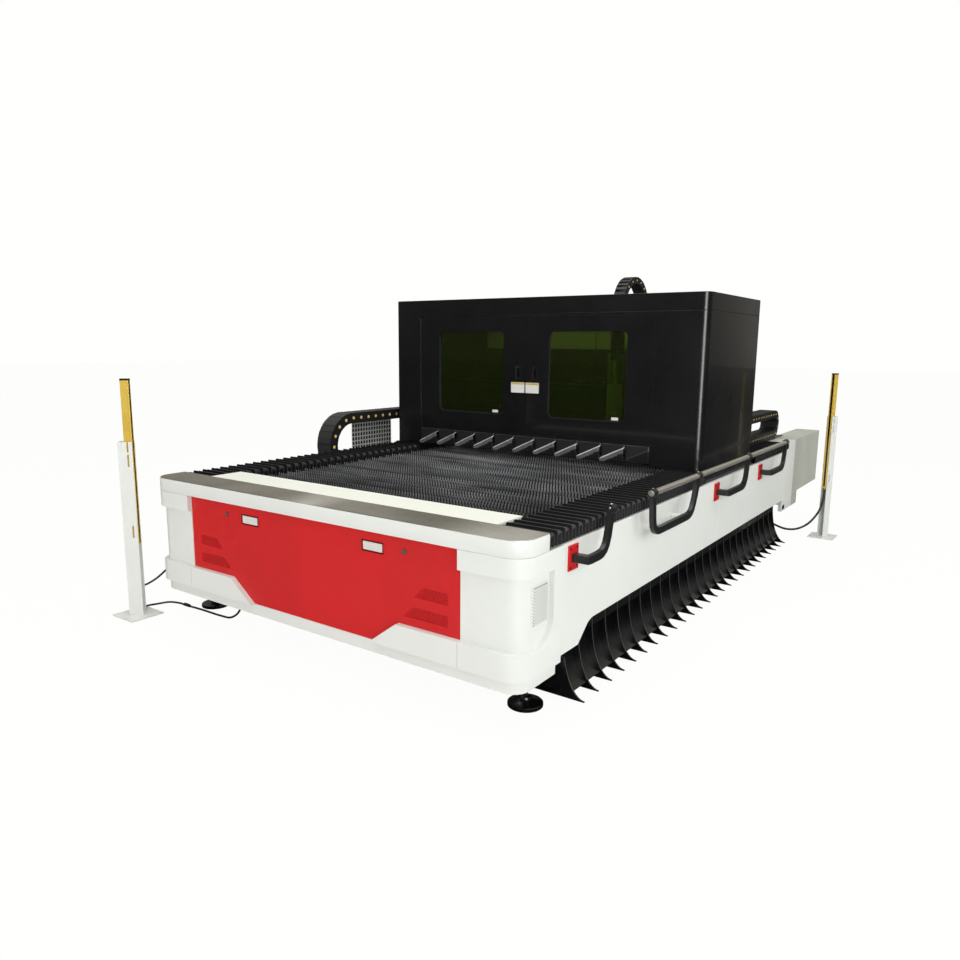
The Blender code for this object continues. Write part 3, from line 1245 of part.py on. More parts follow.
for number, (start_y, top_y) in enumerate(zip(ARM_PLATES_Y, ARM_TOPS_Y)):
    arm_path = bent(
        [(start_y, ARM_LOW), (top_y - ARM_LEAN, ARM_LOW), (top_y, TUBE_Z - TUBE_RADIUS)],
        ARM_BEND, ARM_STEPS,
    )
    arm = Shape().prism(strip(arm_path, ARM_HEIGHT), "X", arm_low_x, arm_high_x)
    neck = Shape().block(
        (HALF + RED_THICK - JOIN, start_y - ARM_HEIGHT / 2, ARM_LOW - ARM_HEIGHT / 2 + JOIN / 2),
        (arm_high_x - JOIN / 2, start_y + ARM_HEIGHT / 2, ARM_LOW + ARM_HEIGHT / 2 - JOIN / 2),
    )
    red_plate = Shape().block(
        (HALF + GAP, start_y - RED_WIDTH / 2, ARM_LOW - RED_HEIGHT / 2),
        (HALF + RED_THICK, start_y + RED_WIDTH / 2, ARM_LOW + RED_HEIGHT / 2),
    )
    node(
        f"handrail_arm_{number + 1}", BLACK, arm,
        join=(arm_head(top_y), neck, red_plate), cut=(tube_hole,) if number else (),
    )


# Light-curtain posts: a slotted channel on a base plate, with the curtain standing in it.
def post_parts(place, turn, glands):
    spot = Matrix.Translation((*place, 0)) @ Matrix.Rotation(turn, 4, "Z")
    half, deep = POST_WIDTH / 2, POST_DEPTH / 2
    channel = Shape().prism(
        [
            (deep, half), (-deep, half), (-deep, -half), (deep, -half),
            (deep, -half + POST_WALL), (-deep + POST_WALL, -half + POST_WALL),
            (-deep + POST_WALL, half - POST_WALL), (deep, half - POST_WALL),
        ],
        "Z", POST_BASE_THICK - JOIN, POST_TOP,
    )
    base = Shape().block(
        (place[0] - POST_BASE / 2, place[1] - POST_BASE / 2, 0),
        (place[0] + POST_BASE / 2, place[1] + POST_BASE / 2, POST_BASE_THICK),
    )
    holders = Shape()
    for z in (CURTAIN_BOTTOM + SLOT_LONG * 2, POST_TOP - SLOT_LONG):
        holders.block(
            (-deep + POST_WALL / 2, -CURTAIN_WIDTH / 4, z),
            (CURTAIN_FRONT - CURTAIN_DEPTH - GAP, CURTAIN_WIDTH / 4, z + SLOT_LONG / 2),
        )
    slots = Shape()
    for z in POST_SLOTS_Z:
        slots.block((deep / 4, -POST_DEPTH, z), (deep / 4 + SLOT_WIDTH, POST_DEPTH, z + SLOT_LONG))
    joins = [base, holders.moved(spot)]
    for z in glands:
        joins.append(Shape().drum(
            (deep / 4, half - POST_WALL / 2, z), (0, 1, 0), GLAND_RADIUS, GLAND_LENGTH,
            sides=GLAND_SIDES,
        ).moved(spot))
    curtain = Shape().block(
        (CURTAIN_FRONT - CURTAIN_DEPTH, -CURTAIN_WIDTH / 2, CURTAIN_BOTTOM),
        (CURTAIN_FRONT, CURTAIN_WIDTH / 2, CURTAIN_TOP),
    )
    return channel.moved(spot), tuple(joins), (slots.moved(spot),), curtain.moved(spot), spot


channel, joins, slots, curtain, left_spot = post_parts(
    LEFT_POST, LEFT_TURN, (POST_GLAND_LOWER, POST_GLAND_UPPER)
)
node("post_left", WHITE, channel, join=joins, cut=slots)
node("light_curtain_left", YELLOW, curtain)
channel, joins, slots, curtain, right_spot = post_parts(RIGHT_POST, RIGHT_TURN, ())
node("post_right", WHITE, channel, join=joins, cut=slots)
curtain_gland = Shape().drum(
    (CURTAIN_FRONT - CURTAIN_DEPTH / 2, 0, CURTAIN_BOTTOM - GLAND_LENGTH), (0, 0, 1),
    GLAND_RADIUS, GLAND_LENGTH + JOIN, sides=GLAND_SIDES,
).moved(right_spot)
node("light_curtain_right", YELLOW, curtain, join=(curtain_gland,))


# Cables of the two curtains, each along a smooth line through its route points.
def cable(name, start, leave, route, corner, end, arrive, steps):
    points = [Vector(start), Vector(start) + Vector(leave) * CABLE_STUB]
    points += [Vector(p) + Vector(corner) for p in route]
    points += [Vector(end) + Vector(arrive) * CABLE_STUB, Vector(end)]
    line = [points[0]]
    for i in range(1, len(points) - 2):
        a, b, c, d = points[i - 1:i + 3]
        for k in range(steps):
            t = k / steps
            line.append(0.5 * (
                2 * b + (c - a) * t + (2 * a - 5 * b + 4 * c - d) * t * t
                + (3 * b - a - 3 * c + d) * t ** 3
            ))
    line += points[-2:]
    curve = bpy.data.curves.new(name, "CURVE")
    curve.dimensions = "3D"
    curve.bevel_depth = CABLE_RADIUS
    curve.bevel_resolution = 2
    curve.use_fill_caps = True
    spline = curve.splines.new("POLY")
    spline.points.add(len(line) - 1)
    for spot, point in zip(spline.points, line):
        spot.co = (*point, 1)
    obj = bpy.data.objects.new(name, curve)
    MACHINE.objects.link(obj)
    finish = bpy.data.materials.new(name)
    finish.use_nodes = True
    finish.node_tree.nodes["Principled BSDF"].inputs["Base Color"].default_value = BLACK
    curve.materials.append(finish)


def post_exit(spot, z):
    out = POST_WIDTH / 2 - POST_WALL / 2 + GLAND_LENGTH + GAP
    return spot @ Vector((POST_DEPTH / 8, out, z))


front_corner = (-HALF, 0, 0)
sideways = Matrix.Rotation(LEFT_TURN, 3, "Z") @ Vector((0, 1, 0))
down = (0, 0, -1)
cable(
    "cable_left_upper", post_exit(left_spot, POST_GLAND_UPPER), sideways, UPPER_ROUTE, front_corner,
    (-HALF - GLAND_LENGTH - GAP, *SIDE_GLAND), (-1, 0, 0), CABLE_STEPS,
)
cable(
    "cable_left_lower", post_exit(left_spot, POST_GLAND_LOWER), sideways, LOWER_ROUTE, front_corner,
    (*FRAME_GLAND, CROSS_BOTTOM - GLAND_LENGTH - GAP), down, CABLE_STEPS,
)
curtain_exit = right_spot @ Vector(
    (CURTAIN_FRONT - CURTAIN_DEPTH / 2, 0, CURTAIN_BOTTOM - GLAND_LENGTH - GAP)
)
cable(
    "cable_right", curtain_exit, down, REAR_ROUTE, (HALF, BED_BACK, 0),
    (*REAR_GLAND, CROSS_BOTTOM - GLAND_LENGTH - GAP), down, CABLE_STEPS,
)

# The origin lies on the floor under the middle of everything but the cables.
footprint = (
    (tray_edge - GAP - GUARD_THICK + RIGHT_POST[0] + POST_BASE / 2) / 2,
    (LEFT_POST[1] - POST_BASE / 2 + CABINET_END) / 2,
)
for group in (MACHINE, CUTTERS):
    for obj in group.objects:
        obj.location -= Vector((*footprint, 0))
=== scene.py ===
# %% [markdown]
# # A fiber laser cutting machine
# This lesson dresses a finished CAD model of a flat-bed cutting machine: a toothed slat bed in a
# white frame, and a black enclosure that slides along it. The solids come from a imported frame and
# are never moved. Each step says what a part is on the real machine, how it could be made, and why
# one way was chosen. All sizes are in metres.

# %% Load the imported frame
import json
import math

import bmesh
import bpy
from mathutils import Matrix, Vector

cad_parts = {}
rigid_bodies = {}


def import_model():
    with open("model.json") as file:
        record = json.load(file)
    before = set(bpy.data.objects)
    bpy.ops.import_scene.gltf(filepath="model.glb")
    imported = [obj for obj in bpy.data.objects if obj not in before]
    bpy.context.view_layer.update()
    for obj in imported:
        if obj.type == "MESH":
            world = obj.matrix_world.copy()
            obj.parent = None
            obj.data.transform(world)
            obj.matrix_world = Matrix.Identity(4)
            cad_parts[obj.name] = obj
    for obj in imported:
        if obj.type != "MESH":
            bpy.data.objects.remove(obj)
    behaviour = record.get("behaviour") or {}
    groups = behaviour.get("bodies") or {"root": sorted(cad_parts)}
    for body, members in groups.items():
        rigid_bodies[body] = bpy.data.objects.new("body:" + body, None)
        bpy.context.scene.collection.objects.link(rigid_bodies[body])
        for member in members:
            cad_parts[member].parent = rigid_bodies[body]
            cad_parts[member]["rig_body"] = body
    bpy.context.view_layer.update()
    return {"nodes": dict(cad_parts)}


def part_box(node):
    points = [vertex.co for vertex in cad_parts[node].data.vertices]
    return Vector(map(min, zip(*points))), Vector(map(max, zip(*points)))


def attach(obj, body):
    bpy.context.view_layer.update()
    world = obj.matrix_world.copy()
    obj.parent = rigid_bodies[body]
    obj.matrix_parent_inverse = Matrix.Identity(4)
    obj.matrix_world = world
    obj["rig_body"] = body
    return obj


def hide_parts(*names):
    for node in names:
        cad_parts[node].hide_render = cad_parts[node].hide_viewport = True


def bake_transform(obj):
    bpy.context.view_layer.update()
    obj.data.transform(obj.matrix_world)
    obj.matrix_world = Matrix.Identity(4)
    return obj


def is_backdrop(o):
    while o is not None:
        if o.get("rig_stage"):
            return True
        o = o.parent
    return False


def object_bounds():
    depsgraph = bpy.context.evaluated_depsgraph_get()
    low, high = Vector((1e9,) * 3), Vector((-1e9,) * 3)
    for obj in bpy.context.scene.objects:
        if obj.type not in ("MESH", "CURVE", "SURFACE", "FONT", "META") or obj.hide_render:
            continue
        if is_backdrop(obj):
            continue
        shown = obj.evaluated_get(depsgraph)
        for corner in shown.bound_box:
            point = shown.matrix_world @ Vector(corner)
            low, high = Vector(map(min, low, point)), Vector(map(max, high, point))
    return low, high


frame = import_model()
nodes = frame["nodes"]

# %% [markdown]
# ## A handy place to measure from
# The frame's origin is the middle of the footprint. A fitter would measure from the middle of the
# machine's front edge instead, so every piece here is drawn from there and shifted once at the end.

# %% Measure from the middle of the front edge
cap_low, cap_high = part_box("front_cap")
PLACE = Vector(((cap_low.x + cap_high.x) / 2, cap_low.y, 0))
HALF = (cap_high.x - cap_low.x) / 2
print("front middle at", tuple(round(c, 4) for c in PLACE), "half width", round(HALF, 4))


def span(node):
    """Lowest and highest corner of a CAD node, measured from the front middle."""
    low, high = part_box(node)
    return low - PLACE, high - PLACE


# %% [markdown]
# ## The camera
# The camera's place was solved from the straight edges of the photograph: it stands at eye height
# off the front right corner, turned 35 degrees and tipped 10 degrees down. Building its matrix from
# the three angles keeps that solution exact, where aiming it at a point would lose the small roll.

# %% Camera
YAW, PITCH, ROLL = math.radians(35.1172), math.radians(9.9807), math.radians(0.5110)
LENS, SENSOR, FAR = 28.629, 36, 200
EYE = Vector((2.8219, -2.4973, 1.6060))


def link(name, data):
    """A new object of this data, put in the scene."""
    made = bpy.data.objects.new(name, data)
    bpy.context.scene.collection.objects.link(made)
    return made


ahead = Vector((-math.sin(YAW) * math.cos(PITCH), math.cos(YAW) * math.cos(PITCH),
                -math.sin(PITCH)))
level = Vector((math.cos(YAW), math.sin(YAW), 0))
upward = level.cross(ahead)
right = math.cos(ROLL) * level + math.sin(ROLL) * upward
above = -math.sin(ROLL) * level + math.cos(ROLL) * upward
lens = bpy.data.cameras.new("camera")
lens.lens, lens.sensor_width, lens.clip_end = LENS, SENSOR, FAR
camera = link("camera", lens)
turn = Matrix((right, above, -ahead)).transposed().to_4x4()
camera.matrix_world = Matrix.Translation(PLACE + EYE) @ turn
bpy.context.scene.camera = camera
print("camera at", tuple(round(c, 3) for c in camera.location))

# %% [markdown]
# ## Helpers for finishes
# A finish starts from its colour as seen on screen, so one function turns a hex value into linear
# light. One more adds a node with its settings and links, which keeps every material readable,
# and a third finds a node again where a finish is built on another.

# %% Colour and node helpers
MM = 0.001


def linear(code):
    """An sRGB hex colour as linear red, green, blue and alpha."""
    found = []
    for i in (0, 2, 4):
        part = int(code[i:i + 2], 16) / 255
        found.append(part / 12.92 if part <= 0.04045 else ((part + 0.055) / 1.055) ** 2.4)
    return (*found, 1.0)


def add(tree, kind, inputs=None, **settings):
    """One node, with its settings, and its sockets filled or linked."""
    made = tree.nodes.new(kind)
    for key, value in settings.items():
        setattr(made, key, value)
    for key, value in (inputs or {}).items():
        if isinstance(value, bpy.types.NodeSocket):
            tree.links.new(value, made.inputs[key])
        else:
            made.inputs[key].default_value = value
    return made


def node_of(tree, kind):
    """The first node of a kind."""
    return next(n for n in tree.nodes if n.bl_idname == kind)


# %% [markdown]
# ## One recipe for coated and bare metal
# Powder coat, plastic and steel differ in colour, gloss and grain but share a build: a broad noise
# clouds the colour a little, a fine one roughens it. The fine noise is stretched for brushed metal.
# The sizes are real ones where they show: orange peel on powder coat repeats at 1 to 3 mm. Brush
# lines are about 0.3 mm apart, too fine to show from the camera, so they are drawn at 1.2 mm.

# %% The surface recipe
# The Mix node's sockets when it mixes colours: two inputs, then the output.
A, B, MIXED = 6, 7, 2


def surface(name, shade, rough, metal=0.0, second=None, cloud=0.30, grain=2 * MM, bump=0.06,
            stretch=(1, 1, 1), rough_vary=0.06, coat=0.0, specular=0.5):
    """A material with clouded colour, varied roughness and fine relief."""
    made = bpy.data.materials.new(name)
    made.use_nodes = True
    tree = made.node_tree
    shader = tree.nodes["Principled BSDF"]
    shader.inputs["Metallic"].default_value = metal
    shader.inputs["Coat Weight"].default_value = coat
    shader.inputs["Specular IOR Level"].default_value = specular
    where = add(tree, "ShaderNodeTexCoord").outputs["Object"]
    along = add(tree, "ShaderNodeMapping", {"Vector": where, "Scale": stretch}).outputs["Vector"]
    broad = add(tree, "ShaderNodeTexNoise", {"Vector": where, "Scale": 1 / cloud, "Detail": 5.0})
    fine = add(tree, "ShaderNodeTexNoise", {"Vector": along, "Scale": 1 / grain, "Detail": 3.0})
    both = add(tree, "ShaderNodeMath", {0: broad.outputs["Fac"], 1: fine.outputs["Fac"]},
               operation="ADD")
    spread = add(tree, "ShaderNodeMapRange",
                 {"Value": both.outputs[0], "From Min": 0.7, "From Max": 1.3})
    tint = add(tree, "ShaderNodeMix", {0: spread.outputs["Result"], A: linear(shade),
                                       B: linear(second or shade)}, data_type="RGBA")
    tree.links.new(tint.outputs[MIXED], shader.inputs["Base Color"])
    gloss = add(tree, "ShaderNodeMapRange", {
        "Value": both.outputs[0], "From Min": 0.6, "From Max": 1.4,
        "To Min": max(rough - rough_vary, 0.02), "To Max": rough + rough_vary})
    tree.links.new(gloss.outputs["Result"], shader.inputs["Roughness"])
    relief = add(tree, "ShaderNodeBump", {
        "Height": fine.outputs["Fac"], "Strength": bump, "Distance": grain})
    tree.links.new(relief.outputs["Normal"], shader.inputs["Normal"])
    return made


# Polyester powder coat, satin white: soft highlights and a faint orange peel.
white = surface("white_powder_coat", "E9EBE6", 0.34, second="E3E5DF", bump=0.05)
# The inner plate is a creamier batch with a duller, dusty face.
cream = surface("cream_powder_coat", "EDEEE2", 0.45, second="E3E4D6", bump=0.05)
# Gloss red powder coat.
red = surface("red_powder_coat", "D61F21", 0.36, second="CB1B1D", bump=0.05, specular=0.35)
# The same coat in the shade of the vent slits.
red_shade = surface("shaded_red_powder_coat", "7E1214", 0.55, second="6E0F12", bump=0.05)
# Fine-textured black powder coat of the enclosure: it swallows light and shows no sharp reflection.
black = surface("black_textured_powder_coat", "0E0E10", 0.30, second="151517", grain=1.2 * MM,
                bump=0.07, specular=0.42, coat=0.25)
# Gloss black paint on the rib plates and feet.
gloss_black = surface("black_gloss_enamel", "080809", 0.24, second="0F0F10", bump=0.05)
# A lighter grey on a rib's cut edge is a painted highlight, where the edge catches the light.
rib_edge_highlight = surface("rib_edge_painted_highlight", "3C3C3E", 0.35, second="2A2A2C", bump=0.05)
# Grey frame paint, light grey machine paint.
grey = surface("grey_frame_paint", "8B8E90", 0.45, second="84878A")
light_grey = surface("light_grey_paint", "D9DBD7", 0.42, second="D0D2CD")
# Warm grey paint of the rear cabinet.
warm_grey = surface("warm_grey_paint", "C6C7BC", 0.42, second="BDBEB2")
# Cold-rolled stainless, with brush lines that run along X.
stainless = surface("brushed_stainless_steel", "D6D2C8", 0.34, metal=1.0, second="A8A498",
                    cloud=0.45, grain=1.2 * MM, stretch=(0.02, 1, 1), bump=0.10, rough_vary=0.08)
# The front plate is the same sheet, with two paler, less metallic patches near its middle and its
# right corner: painted reflections.
plate = surface("stainless_plate_painted_reflections", "C4C0B6", 0.36, metal=1.0, second="8F8B80", cloud=0.30,
                grain=1.2 * MM, stretch=(0.02, 1, 1), bump=0.10, rough_vary=0.08)
tree = plate.node_tree
where = node_of(tree, "ShaderNodeTexCoord")
side = add(tree, "ShaderNodeSeparateXYZ", {"Vector": where.outputs["Object"]}).outputs["X"]
reflection_patches = None
# Each patch lowers the metallic share, so the sheet renders paler there: a painted reflection.
for middle, reach in ((PLACE.x - 0.02, 0.22), (PLACE.x + 1.16, 0.40)):
    off = add(tree, "ShaderNodeMath", {0: side, 1: middle}, operation="SUBTRACT")
    away = add(tree, "ShaderNodeMath", {0: off.outputs[0]}, operation="ABSOLUTE")
    patch = add(tree, "ShaderNodeMapRange", {"Value": away.outputs[0], "From Min": 0.0,
                                             "From Max": reach, "To Min": 0.25, "To Max": 0.92},
                interpolation_type="SMOOTHSTEP")
    reflection_patches = patch.outputs["Result"] if reflection_patches is None else add(
        tree, "ShaderNodeMath", {0: reflection_patches, 1: patch.outputs["Result"]},
        operation="MINIMUM").outputs[0]
tree.links.new(reflection_patches, tree.nodes["Principled BSDF"].inputs["Metallic"])
# Satin-plated latch paddles and bezels, paler than the sheet.
satin = surface("satin_nickel_plate", "F2EFE9", 0.38, metal=0.10, second="E2DFD8", cloud=0.05)
# Drawn stainless tube, with fine lines along its length.
tube_steel = surface("drawn_stainless_tube", "CCC8BE", 0.32, metal=0.75, second="BAB6AC",
                     stretch=(1, 0.05, 1), grain=1.5 * MM)
# Bright zinc on bolts and screws.
zinc = surface("bright_zinc_plate", "C9CBCC", 0.25, metal=1.0, second="B4B6B8", cloud=0.02)
# Blackened screws.
dark_screw = surface("black_oxide_steel", "2A2A2B", 0.45, metal=0.8, second="1E1E1F", cloud=0.02)
# Nickel of the lock barrels, dulled by hands.
lock_steel = surface("dull_nickel", "A8A29A", 0.40, metal=0.7, second="6C6862", cloud=0.01)
# Ground steel of rails and racks.
rail_steel = surface("ground_rail_steel", "8F9194", 0.28, metal=1.0, second="7C7E81",
                     stretch=(1, 0.05, 1))
# Glass-filled nylon of the drag chains: dull, with a grey bloom.
nylon = surface("glass_filled_nylon", "121213", 0.50, second="1B1B1C", grain=1.5 * MM, bump=0.12)
nylon_grey = surface("bloomed_nylon", "2C2C2E", 0.50, second="222224", grain=1.5 * MM, bump=0.12)
# Moulded ABS of handles.
abs_black = surface("moulded_black_abs", "191919", 0.34, second="222222", grain=1.0 * MM, bump=0.08)
# Rubber of seals and flaps.
rubber = surface("black_rubber", "18181A", 0.42, second="232325", grain=1.5 * MM, bump=0.08)
# The flaps carry painted light: a painted highlight pale along the fold, and a painted sheen
# greyer just below it.
rubber_sheen_below_fold = surface("rubber_painted_sheen", "7C7C7E", 0.48, second="5C5C5E", cloud=0.06,
                         grain=1.5 * MM, bump=0.08)
rubber_fold_highlight = surface("rubber_painted_fold_highlight", "E4E4E6", 0.42, second="BEBEC0", cloud=0.06,
                      grain=1.5 * MM, bump=0.05)
# Yellow zinc on the chains' pins, and the copper of the nozzle.
brass = surface("yellow_zinc_pin", "FFE7A0", 0.45, second="F0CC70", cloud=0.02)
copper = surface("copper_nozzle", "B86E44", 0.28, metal=1.0, second="9C5A36", cloud=0.02)
# Yellow anodised housing of the light curtains.
yellow = surface("yellow_anodised_aluminium", "F0D060", 0.34, metal=0.20, second="DDB544",
                 stretch=(1, 1, 0.05))
# Tinted acrylic over the curtains' lenses, a bare film for labels, and the cables' sheath.
lens_black = surface("dark_acrylic_lens", "17130C", 0.14, second="1E180E", bump=0.0)
label_white = surface("blank_label_film", "EFEEE8", 0.35, second="E6E5DE", bump=0.02)
pvc = surface("black_pvc_sheath", "161617", 0.40, second="1E1E1F", grain=1.2 * MM)
print("materials:", len(bpy.data.materials))

# %% [markdown]
# ## Steel slats and laser glass
# The slats are mild steel strips. Their teeth are cut by a laser, so the tips stay bare and
# lighter.
# Below them a blend on height paints the sides dark: scale and dust, and painted shade deep between
# the slats. The windows are green filter acrylic, which lets some light through and reflects the
# room in its gloss.

# %% Slat steel and window acrylic
slat_low, slat_high = span("slat_bed")
slat_steel = surface("laser_cut_mild_steel", "DCDDDF", 0.45, metal=0.25, second="98999C",
                     cloud=0.20, grain=3 * MM, bump=0.15, rough_vary=0.12)
tree = slat_steel.node_tree
tint = node_of(tree, "ShaderNodeMix")
where = node_of(tree, "ShaderNodeTexCoord").outputs["Object"]
split = add(tree, "ShaderNodeSeparateXYZ", {"Vector": where})
rise = add(tree, "ShaderNodeMapRange", {"Value": split.outputs["Z"],
                                        "From Min": slat_high.z - 0.030,
                                        "From Max": slat_high.z - 0.004})
# Some slats are older than others: a noise that is long in X and short in Y darkens them by rows.
# A second blend darkens the slats towards the front.
rows = add(tree, "ShaderNodeMapping", {"Vector": where, "Scale": (0.9, 7.0, 0.1)})
age = add(tree, "ShaderNodeTexNoise", {"Vector": rows.outputs["Vector"], "Scale": 1.6,
                                       "Detail": 4.0})
worn = add(tree, "ShaderNodeMapRange", {"Value": age.outputs["Fac"], "From Min": 0.35,
                                        "From Max": 0.65, "To Min": 0.25, "To Max": 1.0})
near = add(tree, "ShaderNodeMapRange", {"Value": split.outputs["Y"], "From Min": PLACE.y + 0.5,
                                        "From Max": PLACE.y + 1.3, "To Min": 0.5, "To Max": 1.0})
light = rise.outputs["Result"]
for factor in (worn, near):
    light = add(tree, "ShaderNodeMath", {0: light, 1: factor.outputs["Result"]},
                operation="MULTIPLY").outputs[0]
# Where the mask is low, near-black stands for scale and dust and for painted shade between slats.
deep = add(tree, "ShaderNodeMix", {0: light, A: linear("101011"), B: tint.outputs[MIXED]},
           data_type="RGBA")
tree.links.new(deep.outputs[MIXED], tree.nodes["Principled BSDF"].inputs["Base Color"])

glass = bpy.data.materials.new("green_filter_acrylic")
glass.use_nodes = True
tree = glass.node_tree
shader = tree.nodes["Principled BSDF"]
shader.inputs["Roughness"].default_value = 0.03
shader.inputs["IOR"].default_value = 1.49
shader.inputs["Transmission Weight"].default_value = 0.96
where = add(tree, "ShaderNodeTexCoord").outputs["Object"]
cloudy = add(tree, "ShaderNodeTexNoise", {"Vector": where, "Scale": 3.0, "Detail": 2.0})
tint = add(tree, "ShaderNodeMix", {0: cloudy.outputs["Fac"], A: linear("6C8230"),
                                   B: linear("768C38")}, data_type="RGBA")
tree.links.new(tint.outputs[MIXED], shader.inputs["Base Color"])

# Coated cloth of the bellows: a fine weave, drawn at 1.5 mm so that it shows.
cloth = surface("coated_bellows_cloth", "090909", 0.60, second="0F0F10", grain=1.5 * MM, bump=0.20,
                specular=0.25)
# A paler grey painted along the pleats' crests and front slopes, as painted highlight.
crest_highlight = surface("bellows_painted_crest_highlight", "58585B", 0.60, second="3E3E41", grain=1.5 * MM, bump=0.20,
                specular=0.25)
print("materials:", len(bpy.data.materials))

# %% [markdown]
# ## Helpers for shapes
# Most sheet-metal parts are prisms: a flat outline given a thickness by extruding one face. Round
# parts start from a cylinder or a spun profile. `piece` then writes the mesh, moves it to its place
# and ties it to the body that carries it.

# %% Shape helpers
CORNER_STEPS = 5


def in_mm(*pairs):
    """Pairs given in millimetres, as metres."""
    return [(a * MM, b * MM) for a, b in pairs]


def along_axis(axis, along, a, b):
    """A point from its place along an axis and its two other coordinates."""
    return {"X": (along, a, b), "Y": (a, along, b), "Z": (a, b, along)}[axis]


def block(bm, low, high):
    """A box between two corners."""
    low, high = Vector(low), Vector(high)
    size = Matrix.Diagonal((*(high - low), 1))
    bmesh.ops.create_cube(bm, size=1, matrix=Matrix.Translation((low + high) / 2) @ size)


def thicken(bm, faces, way):
    """Pulls a copy of the faces away and leaves walls between the two."""
    grown = bmesh.ops.extrude_face_region(bm, geom=faces)["geom"]
    corners = [g for g in grown if isinstance(g, bmesh.types.BMVert)]
    bmesh.ops.translate(bm, verts=corners, vec=way)


def prism(bm, outline, axis, start, end):
    """A flat outline, extruded along one axis."""
    face = bm.faces.new([bm.verts.new(along_axis(axis, start, a, b)) for a, b in outline])
    thicken(bm, [face], along_axis(axis, end - start, 0, 0))


def standing(centre, axis):
    """The matrix that stands Z along an axis, at a centre."""
    turned = Vector((0, 0, 1)).rotation_difference(Vector(axis)).to_matrix().to_4x4()
    return Matrix.Translation(centre) @ turned


def drum(bm, centre, axis, radius, length, sides=24):
    """A cylinder from its base centre along an axis."""
    place = standing(centre, axis) @ Matrix.Translation((0, 0, length / 2))
    bmesh.ops.create_cone(bm, cap_ends=True, segments=sides, radius1=radius, radius2=radius,
                          depth=length, matrix=place)


def lathe(bm, profile, centre, axis=(0, 0, 1), sides=32):
    """A profile of (radius, height) pairs spun round an axis. It starts and ends at radius 0."""
    before = set(bm.verts)
    corners = [bm.verts.new((r, 0, z)) for r, z in profile]
    edges = [bm.edges.new(pair) for pair in zip(corners, corners[1:])]
    bmesh.ops.spin(bm, geom=corners + edges, cent=(0, 0, 0), axis=(0, 0, 1),
                   angle=2 * math.pi, steps=sides, use_merge=True)
    new = [v for v in bm.verts if v not in before]
    bmesh.ops.transform(bm, matrix=standing(centre, axis), verts=new)
    bmesh.ops.remove_doubles(bm, verts=new, dist=1e-6)


def arc(centre, radius, start, end, steps):
    """Points on a circle, between two angles in degrees."""
    found = []
    for i in range(steps + 1):
        angle = math.radians(start + (end - start) * i / steps)
        found.append((centre[0] + radius * math.cos(angle), centre[1] + radius * math.sin(angle)))
    return found


def rounded(low, high, radius):
    """A rectangle's outline with rounded corners."""
    corners = ((high[0] - radius, high[1] - radius, 0), (low[0] + radius, high[1] - radius, 90),
               (low[0] + radius, low[1] + radius, 180), (high[0] - radius, low[1] + radius, 270))
    return [p for a, b, s in corners for p in arc((a, b), radius, s, s + 90, CORNER_STEPS)]


def piece(name, bm, finish, body, stands_for=(), bevel=0.0, segments=2, sharp=32,
          placed=False):
    """Writes the mesh, breaks its edges and makes it ride on a body."""
    bmesh.ops.recalc_face_normals(bm, faces=bm.faces)
    if not placed:
        bmesh.ops.translate(bm, verts=bm.verts, vec=PLACE)
    mesh = bpy.data.meshes.new(name)
    bm.to_mesh(mesh)
    bm.free()
    mesh.polygons.foreach_set("use_smooth", [True] * len(mesh.polygons))
    mesh.set_sharp_from_angle(angle=math.radians(sharp))
    mesh.materials.append(finish)
    made = link(name, mesh)
    if bevel:
        soften = made.modifiers.new("broken edges", "BEVEL")
        soften.width, soften.segments, soften.limit_method = bevel, segments, "ANGLE"
        soften.angle_limit = math.radians(sharp)
        soften.harden_normals = True
    if body:
        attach(made, body)
    if stands_for:
        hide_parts(*stands_for)
    print(f"{name}: {len(mesh.polygons)} faces")
    return made


# %% [markdown]
# ## Dressing a CAD solid
# A CAD node arrives as loose triangles with perfectly sharp edges, and no sheet-metal part has
# those. A copy of it is merged, its flat triangles are joined into whole faces, and a narrow bevel
# rounds the edges, so that they catch the light as bent and painted steel does.

# %% Dress the painted and machined solids
def dressed(node, finish, bevel):
    """A copy of a CAD node with whole faces, broken edges and a finish."""
    bm = bmesh.new()
    bm.from_mesh(nodes[node].data)
    bmesh.ops.remove_doubles(bm, verts=bm.verts, dist=1e-5)
    bmesh.ops.dissolve_limit(bm, angle_limit=math.radians(0.4), verts=bm.verts, edges=bm.edges)
    return piece(f"{node}_dressed", bm, finish, nodes[node]["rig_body"], (node,), bevel,
                 placed=True)


